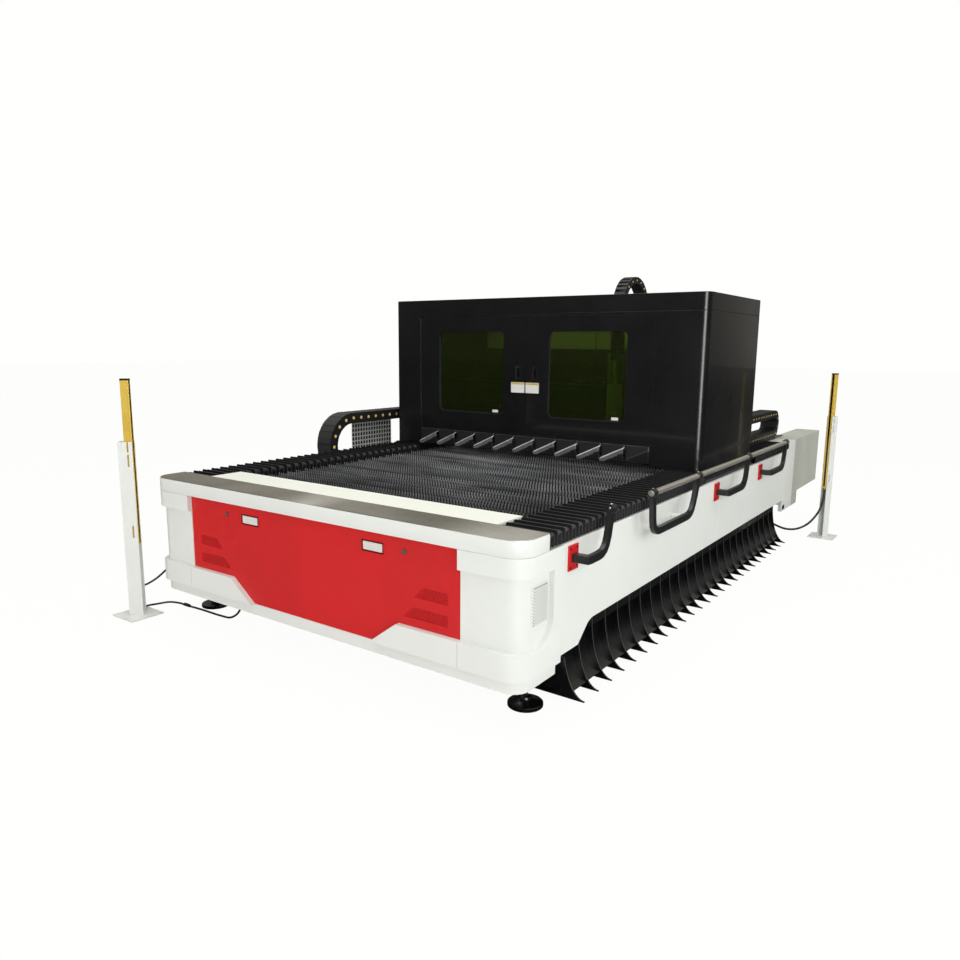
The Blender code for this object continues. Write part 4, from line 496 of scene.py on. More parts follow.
for node, finish, bevel in (
    ("front_cap", white, 0), ("front_cabinet", white, 3 * MM), ("inner_plate", cream, 1.5 * MM),
    ("front_top_plate", plate, 0.6 * MM), ("front_panel", red, 1.2 * MM),
    ("side_panel_left", white, 2 * MM), ("side_panel_right", white, 2 * MM),
    ("louvre_right", white, 0.5 * MM), ("rear_cover", white, 3 * MM),
    ("rear_cabinet", warm_grey, 3 * MM), ("enclosure", black, 2 * MM),
    ("enclosure_lid", black, 2.5 * MM), ("door_left", black, 2 * MM), ("door_right", black, 2 * MM),
    ("bed_frame", grey, 3 * MM), ("gantry_beam", black, 2 * MM), ("chain_tray", light_grey, 1 * MM),
    ("hose_tray", black, 0.8 * MM), ("side_drive_left", black, 2 * MM),
    ("side_drive_right", black, 2 * MM), ("cross_carriage", grey, 2 * MM),
    ("post_left", white, 0.8 * MM), ("post_right", white, 0.8 * MM),
    ("handle_loop", abs_black, 4 * MM), ("handrail_tube", tube_steel, 1.5 * MM),
    ("light_curtain_left", yellow, 2 * MM), ("light_curtain_right", yellow, 2 * MM),
    ("latch_left", satin, 0.5 * MM), ("latch_right", satin, 0.5 * MM),
    ("lock_left", lock_steel, 0.4 * MM), ("lock_right", lock_steel, 0.4 * MM),
):
    dressed(node, finish, bevel)
for node in ("window_left", "window_right"):
    dressed(node, glass, 0.4 * MM)
for node in ("guide_rail_left", "guide_rail_right"):
    nodes[node].data.materials.clear()
    nodes[node].data.materials.append(rail_steel)

# %% [markdown]
# ## Cables to the light curtains
# Three black sheathed cables run from the machine to the two posts: two of 12 mm at the left, and
# one of 18 mm at the rear. Each leaves its gland straight, sags or lies on the floor, and enters
# the next gland straight. A curve through given points, smoothed with Catmull-Rom steps, gives
# that without a simulation.

# %% Cables
# A cable's radius, the straight stub at each end, and the steps between two route points.
CABLE, STUB, CABLE_STEPS = 6 * MM, 14 * MM, 8
# The rear end of the bed, and the turned places where the posts stand.
BACK = 4.42
left_corner, rear_corner = Vector((-HALF, 0, 0)), Vector((HALF, BACK, 0))
left_post = Matrix.Translation((-HALF - 0.08, -0.10, 0)) @ Matrix.Rotation(math.radians(40), 4, "Z")
right_post = (Matrix.Translation((HALF + 0.265, BACK + 0.07, 0))
              @ Matrix.Rotation(math.radians(-110), 4, "Z"))
# Route points, each from the machine's nearest corner.
UPPER = ((-0.1145, -0.002, 0.163), (-0.1055, 0.0555, 0.188), (-0.066, 0.1005, 0.24))
LOWER = ((-0.121, -0.02, 0.024), (-0.136, 0.012, 0.0165), (-0.145, 0.06, 0.008),
         (-0.118, 0.13, 0.007), (-0.048, 0.157, 0.007), (0.026, 0.158, 0.007),
         (0.169, 0.166, 0.007), (0.34, 0.168, 0.007), (0.45, 0.165, 0.02),
         (0.535, 0.162, 0.08), (0.558, 0.16, 0.17))
REAR = ((0.2535, 0.038, 0.335), (0.2445, 0.0136, 0.268), (0.22, -0.014, 0.2),
        (0.165, -0.05, 0.122), (0.09, -0.08, 0.074), (0.006, -0.098, 0.062),
        (-0.08, -0.102, 0.082), (-0.18, -0.101, 0.126), (-0.27, -0.1, 0.172),
        (-0.31, -0.1, 0.215))


def cable(node, start, leave, route, corner, end, arrive, radius=CABLE):
    """A sheath from gland to gland along a smoothed route."""
    start, end = Vector(start) + PLACE, Vector(end) + PLACE
    points = [start, start + Vector(leave) * STUB]
    points += [Vector(p) + corner + PLACE for p in route]
    points += [end + Vector(arrive) * STUB, end]
    line = [points[0]]
    for i in range(1, len(points) - 2):
        a, b, c, d = points[i - 1:i + 3]
        for k in range(CABLE_STEPS):
            t = k / CABLE_STEPS
            line.append(0.5 * (2 * b + (c - a) * t + (2 * a - 5 * b + 4 * c - d) * t * t
                               + (3 * b - a - 3 * c + d) * t ** 3))
    line += points[-2:]
    curve = bpy.data.curves.new(f"{node}_sheath", "CURVE")
    curve.dimensions, curve.bevel_depth, curve.bevel_resolution = "3D", radius, 4
    curve.use_fill_caps = True
    spline = curve.splines.new("POLY")
    spline.points.add(len(line) - 1)
    for spot, point in zip(spline.points, line):
        spot.co = (*point, 1)
    curve.materials.append(pvc)
    made = link(f"{node}_sheath", curve)
    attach(made, "machine")
    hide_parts(node)


gland_out = left_post.to_3x3() @ Vector((0, 1, 0))
cable("cable_left_upper", left_post @ Vector((0.01, 0.0404, 0.16)), gland_out, UPPER, left_corner,
      (-HALF - 0.0164, 0.1163, 0.262), (-1, 0, 0))
cable("cable_left_lower", left_post @ Vector((0.01, 0.0404, 0.035)), gland_out, LOWER, left_corner,
      (-HALF + 0.56, 0.16, 0.2836), (0, 0, -1))
cable("cable_right", right_post @ Vector((0.017, 0, 0.4186)), (0, 0, -1), REAR, rear_corner,
      (HALF - 0.32, 4.32, 0.2836), (0, 0, -1), radius=9 * MM)

# %% [markdown]
# ## The slat bed
# Fifty mild steel strips stand on edge across the bed, with a saw-tooth top that holds the sheet on
# points. One outline with its teeth, extruded to 4 mm and repeated, is enough: each strip is only
# pushed a little sideways, as loose strips in their slots are.

# %% Slat bed
SLAT_ROWS, SLAT_THICK, TOOTH, TOOTH_DEPTH, TIP = 50, 4 * MM, 20 * MM, 36 * MM, 3 * MM
SLAT_FIRST, SLAT_LAST = 0.47, BACK - 0.42
# How far a strip is pushed sideways and how much lower a worn one stands, at most.
SLAT_PUSH, SLAT_WEAR = 2.5 * MM, 3 * MM
slat_half, slat_top, slat_bottom = slat_high.x - 3 * MM, slat_high.z, slat_high.z - 0.085
teeth = int(2 * slat_half / TOOTH)
bm = bmesh.new()
for row in range(SLAT_ROWS):
    y = SLAT_FIRST + (SLAT_LAST - SLAT_FIRST) * row / (SLAT_ROWS - 1)
    push = SLAT_PUSH * math.sin(row * 2.4)
    top = slat_top - SLAT_WEAR * (0.5 + 0.5 * math.sin(row * 1.7))
    outline = [(slat_half + push, slat_bottom)]
    for number in range(teeth):
        x = slat_half + push - 2 * slat_half * (number + 0.5) / teeth
        outline += [(x + TOOTH * 0.40, top - TOOTH_DEPTH), (x + TIP / 2, top), (x - TIP / 2, top)]
    outline += [(-slat_half + push, top - TOOTH_DEPTH), (-slat_half + push, slat_bottom)]
    prism(bm, outline, "Y", y - SLAT_THICK / 2, y + SLAT_THICK / 2)
for side in (-1, 1):
    x = side * (slat_high.x - 0.06)
    block(bm, (x - 0.015, SLAT_FIRST - 0.03, slat_low.z),
          (x + 0.015, SLAT_LAST + 0.03, slat_bottom + 0.02))
piece("slat_bed_teeth", bm, slat_steel, "machine", ("slat_bed",))

# %% [markdown]
# ## Bellows
# Pleated covers keep dust off the rails and fold up as the enclosure comes. A long channel is cut
# into rings with one subdivide, then every second pair of rings is pulled in, which makes sharp
# ridges and valleys. Each point's share of the travel, in proportion to its place along the rail,
# is worked out, but it is not kept on the piece.

# %% Bellows
# A pleat's length and depths, and how much lower every second crest stands.
PLEAT, PLEAT_DEPTH, PLEAT_SIDE = 32 * MM, 20 * MM, 11 * MM
CREST_DROP = 6 * MM
# Where the four rings of one pleat stand: the two sides of a thin crest, then the valley floor.
POINTS, PLEAT_RINGS = 4, (0, 0.09, 0.30, 0.82)


def share_by_length(made, share):
    """Works out a straight share of the travel for each point of a piece, and does not keep it."""
    values = [min(max(share(v.co - PLACE), 0.0), 1.0) for v in made.data.vertices]


def bellows(node):
    """A pleated channel between two bodies, with painted highlights on its crests."""
    low, high = span(node)
    pleats = round((high.y - low.y) / PLEAT)
    step = (high.y - low.y) / pleats
    wall, corner = 3 * MM, 7 * MM
    outline = [(low.x, low.z), (low.x, high.z - corner), (low.x + corner, high.z),
               (high.x - corner, high.z), (high.x, high.z - corner), (high.x, low.z),
               (high.x - wall, low.z), (high.x - wall, high.z - wall - corner),
               (high.x - wall - corner, high.z - wall), (low.x + wall + corner, high.z - wall),
               (low.x + wall, high.z - wall - corner), (low.x + wall, low.z)]
    bm = bmesh.new()
    prism(bm, outline, "Y", low.y, high.y)
    long_edges = [e for e in bm.edges if abs(e.verts[0].co.y - e.verts[1].co.y) > PLEAT]
    bmesh.ops.subdivide_edges(bm, edges=long_edges, cuts=pleats * POINTS - 1, use_grid_fill=True)
    middle = (low.x + high.x) / 2
    for v in bm.verts:
        station = round((v.co.y - low.y) / step * POINTS)
        pleat, ring = divmod(station, POINTS)
        v.co.y = low.y + step * (pleat + PLEAT_RINGS[ring])
        if ring in (2, 3):
            v.co.x += PLEAT_SIDE if v.co.x < middle else -PLEAT_SIDE
            v.co.z -= PLEAT_DEPTH if v.co.z > high.z - corner - wall - MM else 0
        elif pleat % 2:
            v.co.z -= CREST_DROP if v.co.z > high.z - corner - wall - MM else 0
    made = piece(f"{node}_pleats", bm, cloth, None, (node,), sharp=25)
    # Crests and front slopes of every second pleat on top, and the side fins' crests, take the
    # painted highlight.
    made.data.materials.append(crest_highlight)
    for face in made.data.polygons:
        pleat, ring = divmod((face.center.y - PLACE.y - low.y) / step, 1)
        outside = abs(face.center.x - PLACE.x - middle) > (high.x - low.x) / 2 - 2 * MM
        raised = face.normal.z > 0.2 and int(pleat) % 2 == 0 and not outside
        if ring < PLEAT_RINGS[1] and outside or ring > PLEAT_RINGS[3] and raised:
            face.material_index = 1
        if ring < PLEAT_RINGS[1] and raised:
            face.material_index = 1
    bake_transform(made)
    share_by_length(made, lambda p: (p.y - low.y) / (high.y - low.y))


for side in ("left", "right"):
    bellows(f"bellows_front_{side}")
    bellows(f"bellows_rear_{side}")

# %% [markdown]
# ## Drag chains
# A drag chain is a row of equal links: two side plates, joined by bars, that pivot on pins. It is
# easiest to model one link flat, then copy it along a path of straights and a bend. Each point's
# length along the chain gives its share of the joint's travel, as the bend of a real chain moves
# half as far as its held end. The share is worked out, then dropped from the piece.

# %% Chain links
def walk(points):
    """A function from a length along the points to the place and the direction there."""
    sums = [0.0]
    for a, b in zip(points, points[1:]):
        sums.append(sums[-1] + (Vector(b) - Vector(a)).length)

    def at(length):
        i = 0
        while i < len(points) - 2 and sums[i + 1] < length:
            i += 1
        a, b = Vector(points[i]), Vector(points[i + 1])
        return a.lerp(b, (length - sums[i]) / (sums[i + 1] - sums[i])), (b - a).normalized()

    return at, sums[-1]


def link_shapes(pitch, height, width, pin):
    """One link lying along X, its height on Y and its width on Z: plates and bars, covers, pins."""
    body, cover, pins = bmesh.new(), bmesh.new(), bmesh.new()
    half, plate = height / 2, 5 * MM
    reach, inset = pitch * 0.58, 0.8 * MM
    edge = half - 2 * MM
    ends = [(reach - 3 * MM, -edge), (reach, -edge + 4 * MM), (reach, edge - 4 * MM),
            (reach - 3 * MM, edge), (-reach + 3 * MM, edge), (-reach, edge - 4 * MM),
            (-reach, -edge + 4 * MM), (-reach + 3 * MM, -edge)]
    for low in (inset, width - plate - inset):
        prism(body, ends, "Z", low, low + plate)
    for low, high in ((-half + MM, -half + 4 * MM), (half - 6 * MM, half - 3 * MM)):
        block(body, (-pitch * 0.3, low, plate / 2), (pitch * 0.3, high, width - plate / 2))
    block(cover, (-pitch * 0.57, half - 4 * MM, plate * 0.7),
          (pitch * 0.57, half - 1.6 * MM, width - plate * 0.7))
    for base, way in ((inset - 0.2 * MM, -1), (width - inset + 0.2 * MM, 1)):
        drum(pins, (0, 0, base), (0, 0, way), pin, 0.6 * MM, sides=14)
    return body, cover, pins


def chain(node, points, axis, low, pitch, height, width, shares, finishes, pin):
    """Copies the link along the path and works out each point's share of the travel, then drops it.
    """
    at, total = walk(points)
    count = max(2, round(total / pitch))
    pitch = total / count
    stood = (node,)
    for part, shape, finish in zip(("links", "covers", "pins"),
                                   link_shapes(pitch, height, width, pin), finishes):
        flat = bpy.data.meshes.new("link")
        shape.to_mesh(flat)
        shape.free()
        bm = bmesh.new()
        mark = bm.verts.layers.float.new("travel")
        for number in range(count):
            if part == "pins" and number % 2:
                continue
            centre = pitch * (number + 0.5)
            spot, way = at(centre)
            bm.verts.ensure_lookup_table()
            before = len(bm.verts)
            bm.from_mesh(flat)
            bm.verts.ensure_lookup_table()
            for v in bm.verts[before:]:
                v[mark] = shares(min(max(centre + v.co.x, 0), total), total)
                side = v.co.z + (0.3 * MM if number % 2 else 0)
                rise = v.co.y - (0.4 * MM if number % 2 else 0)
                flank = spot + way * v.co.x + Vector((-way.y, way.x)) * -rise
                v.co = along_axis(axis, low + side, flank.x, flank.y)
        bpy.data.meshes.remove(flat)
        made = piece(f"{node}_{part}", bm, finish, None, stood, sharp=35)
        stood = ()
        values = [0.0] * len(made.data.vertices)
        made.data.attributes["travel"].data.foreach_get("value", values)
        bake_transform(made)
        made.data.attributes.remove(made.data.attributes["travel"])
    return count


def loop_shares(first, bend):
    """Share of the travel along held run, bend and fixed run: 1 to a half, a half, a half to 0."""
    def share(length, total):
        if length < first:
            return 1 - 0.5 * length / first
        if length < first + bend:
            return 0.5
        return 0.5 * (1 - (length - first - bend) / (total - first - bend))
    return share


# %% Four chains
# Each path is a held run, a bend and a fixed run, in Y and Z (X and Z for the cross chain).
side_path = [(2.70, 1.055)] + arc((1.69, 0.855), 0.20, 90, 270, 40) + [(2.38, 0.655)]
print("side chain", chain("side_chain", side_path, "X", -1.453, 0.041, 0.080, 0.143,
                          loop_shares(1.01, 0.628),
                          (nylon, nylon_grey, brass), 12 * MM))
hose_path = [(3.2164, 1.0464)] + arc((4.342, 0.9614), 0.085, 90, -90, 30) + [(3.50, 0.8764)]
print("hose chain", chain("hose_chain", hose_path, "X", 0.98, 0.0375, 0.066, 0.14,
                          loop_shares(1.1256, 0.267),
                          (nylon, light_grey, brass), 7 * MM))
# Only the upward faces of its upper run are grey, a painted highlight where they face the light
# from above. The covers' other faces and the lower run are black.
covers = bpy.data.objects["hose_chain_covers"].data
covers.materials.append(nylon)
for face in covers.polygons:
    if face.normal.z < 0.5 or face.center.z < 1.0:
        face.material_index = 1
cross_path = [(0.44, 1.5054)] + arc((0.78, 1.4254), 0.08, 90, -90, 30) + [(0.02, 1.3454)]
print("cross chain", chain("cross_chain", cross_path, "Y", 2.78265, 0.05, 0.05, 0.09,
                           loop_shares(0.34, 0.251),
                           (nylon, nylon_grey, brass), 5 * MM))
lift_path = [(2.57906, 1.5204)] + arc((2.77406, 1.8825), 0.195, 180, 0, 40) + [(2.96906, 1.5584)]
print("lift chain", chain("lift_chain", lift_path, "X", 0.3975, 0.036, 0.051, 0.085,
                          loop_shares(0.3621, 0.6126),
                          (nylon, nylon_grey, brass), 6 * MM))

# %% [markdown]
# ## Rib skirts
# Curved rib plates stand under each side beam, in front of a bent sheet. Each rib is a flat outline
# whose outer edge follows a quarter ellipse, so a prism with a fine arc does it. The first two are
# cut away where the side panel reaches lower.

# %% Rib skirts
RIBS, RIB_FIRST, RIB_LAST, RIB_THICK = 26, 0.37, BACK - 0.55, 8 * MM
RIB_ROOT, RIB_REACH, RIB_FOOT, RIB_HIGH, RIB_TIP = HALF - 0.011, 0.115, 0.045, 0.346, 6 * MM
RIB_IN, PANEL_BACK, BEAM_LOW = HALF - 0.16, HALF - 0.0184, 0.4196
RIB_CEILINGS = {0: 0.2546, 1: 0.271}
# Steps of a rib's curve and of the bent sheet's, and the sheet's share of the quarter ellipse.
RIB_STEPS, SHEET_STEPS, SHEET_SHARE = 16, 14, 0.88


def rib_skirt(side):
    """All ribs and the sheet of one side, as one mesh."""
    bm = bmesh.new()
    rise = RIB_HIGH - RIB_FOOT
    edge = [(RIB_ROOT + RIB_REACH * (1 - math.cos(a)),
             RIB_FOOT + RIB_TIP + (rise - RIB_TIP) * (1 - math.sin(a)))
            for a in (math.radians(90 * i / RIB_STEPS) for i in range(RIB_STEPS, -1, -1))]
    for number in range(RIBS):
        ceiling = RIB_CEILINGS.get(number, RIB_HIGH)
        y = RIB_FIRST + (RIB_LAST - RIB_FIRST) * number / (RIBS - 1)
        outer = [(x, z) for x, z in sorted(edge, key=lambda p: -p[0]) if z <= ceiling]
        outline = [(RIB_IN, RIB_FOOT), (outer[0][0], RIB_FOOT)] + outer
        outline += [(PANEL_BACK, min(outer[-1][1], ceiling)), (PANEL_BACK, BEAM_LOW),
                    (RIB_IN, BEAM_LOW)]
        prism(bm, outline, "Y", y - RIB_THICK / 2, y + RIB_THICK / 2)
    inner, outer = [], []
    for i in range(SHEET_STEPS + 1):
        a = math.radians(90 * SHEET_SHARE * i / SHEET_STEPS)
        x = RIB_ROOT - 0.04 + RIB_REACH * (1 - math.cos(a))
        z = RIB_HIGH - 0.048 - (rise - 0.05) * SHEET_SHARE * math.sin(a)
        inner.append((x - 4 * MM, z - MM))
        outer.append((x + 4 * MM, z + MM))
    prism(bm, inner + outer[::-1], "Y", RIB_FIRST - 2 * MM, RIB_LAST + 2 * MM)
    block(bm, (RIB_ROOT - 0.044, RIB_FIRST + 0.25, 0.294), (RIB_ROOT - 2 * MM, RIB_LAST, 0.344))
    if side < 0:
        bmesh.ops.scale(bm, vec=(-1, 1, 1), verts=bm.verts)
    name = "rib_skirt_left" if side < 0 else "rib_skirt_right"
    made = piece(f"{name}_plates", bm, gloss_black, "machine", (name,),
                 bevel=1.2 * MM, segments=1)
    made.data.materials.append(rib_edge_highlight)
    # The ribs' narrow edge faces take the painted highlight.
    for face in made.data.polygons:
        along = [made.data.vertices[i].co.y for i in face.vertices]
        if max(along) - min(along) < RIB_THICK * 1.5 and abs(face.normal.y) < 0.3:
            face.material_index = 1


for side in (-1, 1):
    rib_skirt(side)

# %% [markdown]
# ## Folded flaps
# Under the doors hang eleven rubber flaps, each folded along a diagonal, so that its lower corner
# stands proud and the fold's upper face catches the light. A grid is bent with one function of
# height and width, and Solidify gives it thickness.

# %% Flap curtain
FLAPS, FLAP_LOW, FLAP_HIGH, FOLD_WIDE = 11, 0.853, 0.972, 9 * MM
# The fold's height at a flap's left edge, its rise across the flap, and the painted sheen's band.
FOLD_LEFT, FOLD_RISE, SHEEN_BAND = 0.866, 0.082, 26 * MM
# Columns of the grid, and its rows below, across and over the fold.
COLUMNS, BELOW, ACROSS, OVER = 12, 10, 3, 12
ROWS = BELOW + ACROSS + OVER
door_low, door_high = span("door_left")[0].x, span("door_right")[1].x
FRONT_FACE = span("enclosure")[0].y
flap = (door_high - door_low) / FLAPS
bm = bmesh.new()
for number in range(FLAPS):
    grid = bmesh.ops.create_grid(bm, x_segments=COLUMNS, y_segments=ROWS, size=0.5)
    last = number == FLAPS - 1
    for v in grid["verts"]:
        u, row = v.co.x + 0.5, round((v.co.y + 0.5) * ROWS)
        fold = FOLD_LEFT + FOLD_RISE * u
        below = (BELOW - row) / BELOW
        across = min(max((row - BELOW) / ACROSS, 0), 1)
        z = fold - (fold - FLAP_LOW) * max(below, 0)
        z += FOLD_WIDE * across
        z += (FLAP_HIGH - fold - FOLD_WIDE) * max(row - BELOW - ACROSS, 0) / OVER
        proud = (4 * MM if last else (16 + 12 * u) * MM) * (1 - across)
        y = FRONT_FACE - 1 * MM - (FLAP_HIGH - z) * 0.05 - proud + max(fold - z, 0) * 0.30
        v.co = (door_low + flap * (number + 0.004 + 0.992 * u), y, z)
    # Faces along the fold take the painted highlight, and a band just below it the painted sheen.
    for face in {f for v in grid["verts"] for f in v.link_faces}:
        if not last:
            middle = face.calc_center_median()
            fold = FOLD_LEFT + FOLD_RISE * (middle.x - door_low - flap * number) / flap
            below = fold - middle.z
            face.material_index = 2 if -FOLD_WIDE < below < 0 else int(0 < below < SHEEN_BAND)
curtain = piece("flap_curtain_flaps", bm, rubber, "gantry", ("flap_curtain",),
                sharp=60)
for finish in (rubber_sheen_below_fold, rubber_fold_highlight):
    curtain.data.materials.append(finish)
thick = curtain.modifiers.new("rubber", "SOLIDIFY")
thick.thickness, thick.offset = 2.5 * MM, 0
bm = bmesh.new()
block(bm, (door_low, FRONT_FACE + 1 * MM, 0.969), (door_high, FRONT_FACE + 20 * MM, 0.998))
piece("flap_curtain_rail", bm, black, "gantry", bevel=1 * MM)
print("flaps:", FLAPS)

# %% [markdown]
# ## Front panel details
# The red panel carries four vents of small slanted slits, two stainless paddle latches and two
# locks. Slits that are only painted would look flat, so each is a short hood over a dark gap.

# %% Vents
# How far the panel's face stands behind the cap's.
PANEL = 0.029
# A vent's outer end, its foot, the step up to the next, its height, and its lean over that height.
VENT_END, VENT_LOW, VENT_STEP, VENT_TALL, VENT_LEAN = 0.880, 0.386, 0.102, 0.052, 0.046
VENT_LINES, SLIT_STEP, SLIT_HALF = 6, 13 * MM, 5 * MM
bm, slit = bmesh.new(), bmesh.new()
for side in (-1, 1):
    for row, width in enumerate((0.255, 0.190)):
        low = VENT_LOW + VENT_STEP * row
        for line in range(VENT_LINES):
            z = low + VENT_TALL * (line + 0.5) / VENT_LINES
            lean = VENT_LEAN * (line + 0.5) / VENT_LINES
            for number in range(int((width - lean - 8 * MM) / SLIT_STEP)):
                x = side * (VENT_END - 6 * MM - SLIT_STEP * (number + 0.5))
                block(bm, (x - SLIT_HALF, PANEL + 1.2 * MM, z + 0.5 * MM),
                      (x + SLIT_HALF, PANEL + 5 * MM, z + 3 * MM))
                block(slit, (x - SLIT_HALF, PANEL + 3.4 * MM, z - 2.2 * MM),
                      (x + SLIT_HALF, PANEL + 4.6 * MM, z + 0.4 * MM))
piece("front_panel_vent_hoods", bm, red, "front_panel")
piece("front_panel_vent_slits", slit, red_shade, "front_panel")

# %% Latch bezels and lips
LATCH_X, LATCH_Z, LIP_HALF = 0.44, 0.683, 0.055
bezel = bmesh.new()
for side in (-1, 1):
    x, z = side * LATCH_X, LATCH_Z
    for dx, dz, wide, tall in ((0, 0.0245, 0.135, 5 * MM), (0, -0.0245, 0.135, 5 * MM),
                               (0.065, 0, 5 * MM, 0.044), (-0.065, 0, 5 * MM, 0.044)):
        block(bezel, (x + dx - wide / 2, PANEL - 3.6 * MM, z + dz - tall / 2),
              (x + dx + wide / 2, PANEL - 2.6 * MM, z + dz + tall / 2))
piece("front_panel_bezels", bezel, dark_screw, "front_panel", bevel=0.5 * MM)
for title, side in (("left", -1), ("right", 1)):
    lip = bmesh.new()
    x = side * LATCH_X
    block(lip, (x - LIP_HALF, 0.0250, 0.6695), (x + LIP_HALF, 0.0276, 0.6755))
    block(lip, (x - LIP_HALF, 0.0262, 0.684), (x + LIP_HALF, 0.0276, 0.6855))
    piece(f"latch_{title}_lip", lip, satin, f"latch_{title}", bevel=0.5 * MM)

# %% [markdown]
# ## Louvre shade and skirt seams
# The louvre is pressed sheet: under each blade lies a dark slot, and the blade's sloping face
# catches the light. Seen from this far the slots come out too faint by their own shade, so thin
# grey strips stand in them as painted shade, and the slopes take a light grey as painted shade too,
# so the louvre reads greyer than its frame. The skirt's seams are gaps between folded sheets. They
# are too narrow to cut for the eye, so each is a grey strip just proud of them.

# %% Shade between the louvre's blades
BLADES = 13
plate_low, plate_high = span("louvre_right")
bm = bmesh.new()
pitch = (plate_high.z - plate_low.z) / BLADES
for number in range(BLADES):
    low_z = plate_low.z + pitch * (number + 0.26)
    block(bm, (plate_low.x + 2.7 * MM, plate_low.y + pitch, low_z),
          (plate_low.x + 3.3 * MM, plate_high.y - pitch / 2, low_z + pitch * 0.34))
piece("louvre_shade_lines", bm, grey, "machine")
louvre = bpy.data.objects["louvre_right_dressed"]
# The upward sloping faces take light grey: painted shade that greys the louvre against its frame.
louvre.data.materials.append(light_grey)
for face in louvre.data.polygons:
    if face.normal.z > 0.1 and face.normal.x > 0.1:
        face.material_index = 1

# %% Seams of the skirt
SEAM, SEAM_HALF = 0.952, 0.7 * MM
bm = bmesh.new()
for side in (-1, 1):
    block(bm, (side * SEAM - SEAM_HALF, -0.15 * MM, 0.227),
          (side * SEAM + SEAM_HALF, 1 * MM, 0.3455))
piece("front_skirt_seams", bm, grey, "machine")

# %% [markdown]
# ## Doors: seals and plates
# Each window sits in a black rubber seal, a ring with rounded corners. Two outlines bridged into a
# flat ring and then thickened give it an open middle, where an inset would leave a pane to cut out.
# The plates between the doors are plain white film with an amber band.

# %% Door seals
# How far a seal stands behind the door's face, and its thickness.
SEAL_BACK, SEAL_THICK = 7 * MM, 5 * MM
for title in ("left", "right"):
    low, high = span(f"window_{title}")
    y = FRONT_FACE + SEAL_BACK
    bm = bmesh.new()
    rings = []
    for inward, corner in ((-0.2 * MM, 0.04), (5.8 * MM, 0.034)):
        outline = rounded((low.x + inward, low.z + inward),
                          (high.x - inward, high.z - inward), corner)
        points = [bm.verts.new((a, y, b)) for a, b in outline]
        rings += [bm.edges.new((points[i - 1], points[i])) for i in range(len(points))]
    bmesh.ops.bridge_loops(bm, edges=rings)
    thicken(bm, bm.faces[:], (0, SEAL_THICK, 0))
    piece(f"window_{title}_seal", bm, rubber, f"door_{title}", bevel=1 * MM)

# %% Plates on the doors and windows
# Heights of a plate and of its band, then heights and half length of the film on a window.
PLATE_LOW, PLATE_HIGH, BAND_LOW, BAND_HIGH = 1.279, 1.352, 1.337, 1.349
FILM_LOW, FILM_HIGH, FILM_HALF = 1.127, 1.146, 0.025
for title, low_x, high_x in (("left", -0.162, -0.050), ("right", -0.041, 0.068)):
    bm = bmesh.new()
    prism(bm, rounded((low_x, PLATE_LOW), (high_x, PLATE_HIGH), 3 * MM), "Y",
          FRONT_FACE - 0.6 * MM, FRONT_FACE + 0.2 * MM)
    piece(f"door_{title}_blank_plate", bm, label_white, f"door_{title}")
    bm = bmesh.new()
    block(bm, (low_x + 3 * MM, FRONT_FACE - 0.9 * MM, BAND_LOW),
          (high_x - 3 * MM, FRONT_FACE - 0.5 * MM, BAND_HIGH))
    piece(f"door_{title}_plate_band", bm, yellow, f"door_{title}")
for title, x in (("left", -0.3035), ("right", 0.6485)):
    bm = bmesh.new()
    prism(bm, rounded((x - FILM_HALF, FILM_LOW), (x + FILM_HALF, FILM_HIGH), 2 * MM), "Y",
          FRONT_FACE + 9.4 * MM, FRONT_FACE + 10.1 * MM)
    piece(f"window_{title}_sticker", bm, label_white, f"door_{title}")

# %% [markdown]
# ## Inside the enclosure
# Through the green windows the far wall shows, paler than the black outside because it is lit. A
# grey sheet with three ribs, hung just inside the black rear wall, paints that light in, and two
# small pale panes are painted light for a bright window seen through the glass.

# %% A grey far wall sheet and pale panes, painted light
WALL_SHEET_HALF, WALL_SHEET_LOW, WALL_SHEET_HIGH, WALL_SHEET_RIB = 1.10, 1.585, 1.80, 0.02
back = span("enclosure")[1].y - 0.034
bm = bmesh.new()
block(bm, (-WALL_SHEET_HALF, back - 0.004, WALL_SHEET_LOW), (WALL_SHEET_HALF, back, WALL_SHEET_HIGH))
for x in (-0.72, -0.05, 0.62):
    block(bm, (x - WALL_SHEET_RIB, back - 0.022, WALL_SHEET_LOW),
          (x + WALL_SHEET_RIB, back - 0.005, WALL_SHEET_HIGH))
# The grey sheet paints in the light on the black far wall.
piece("far_wall_painted_light", bm, grey, "gantry", bevel=1 * MM)
bm = bmesh.new()
for low_z, high_z in ((1.70, 1.77), (1.60, 1.69)):
    block(bm, (-0.57, back - 0.012, low_z), (-0.46, back - 0.005, high_z))
# The pale panes are painted light for a bright window seen through the glass.
piece("far_wall_painted_light_pane", bm, label_white, "gantry", bevel=2 * MM)

# %% [markdown]
# ## The chain guard
# Beside the side chain stands a pale plate with rows of holes, and a dark sheet just behind it
# makes the holes read dark. The CAD plate has fewer, larger holes, so a finer one stands in: a grid
# whose faces are inset, emptied and pulled to the plate's thickness.

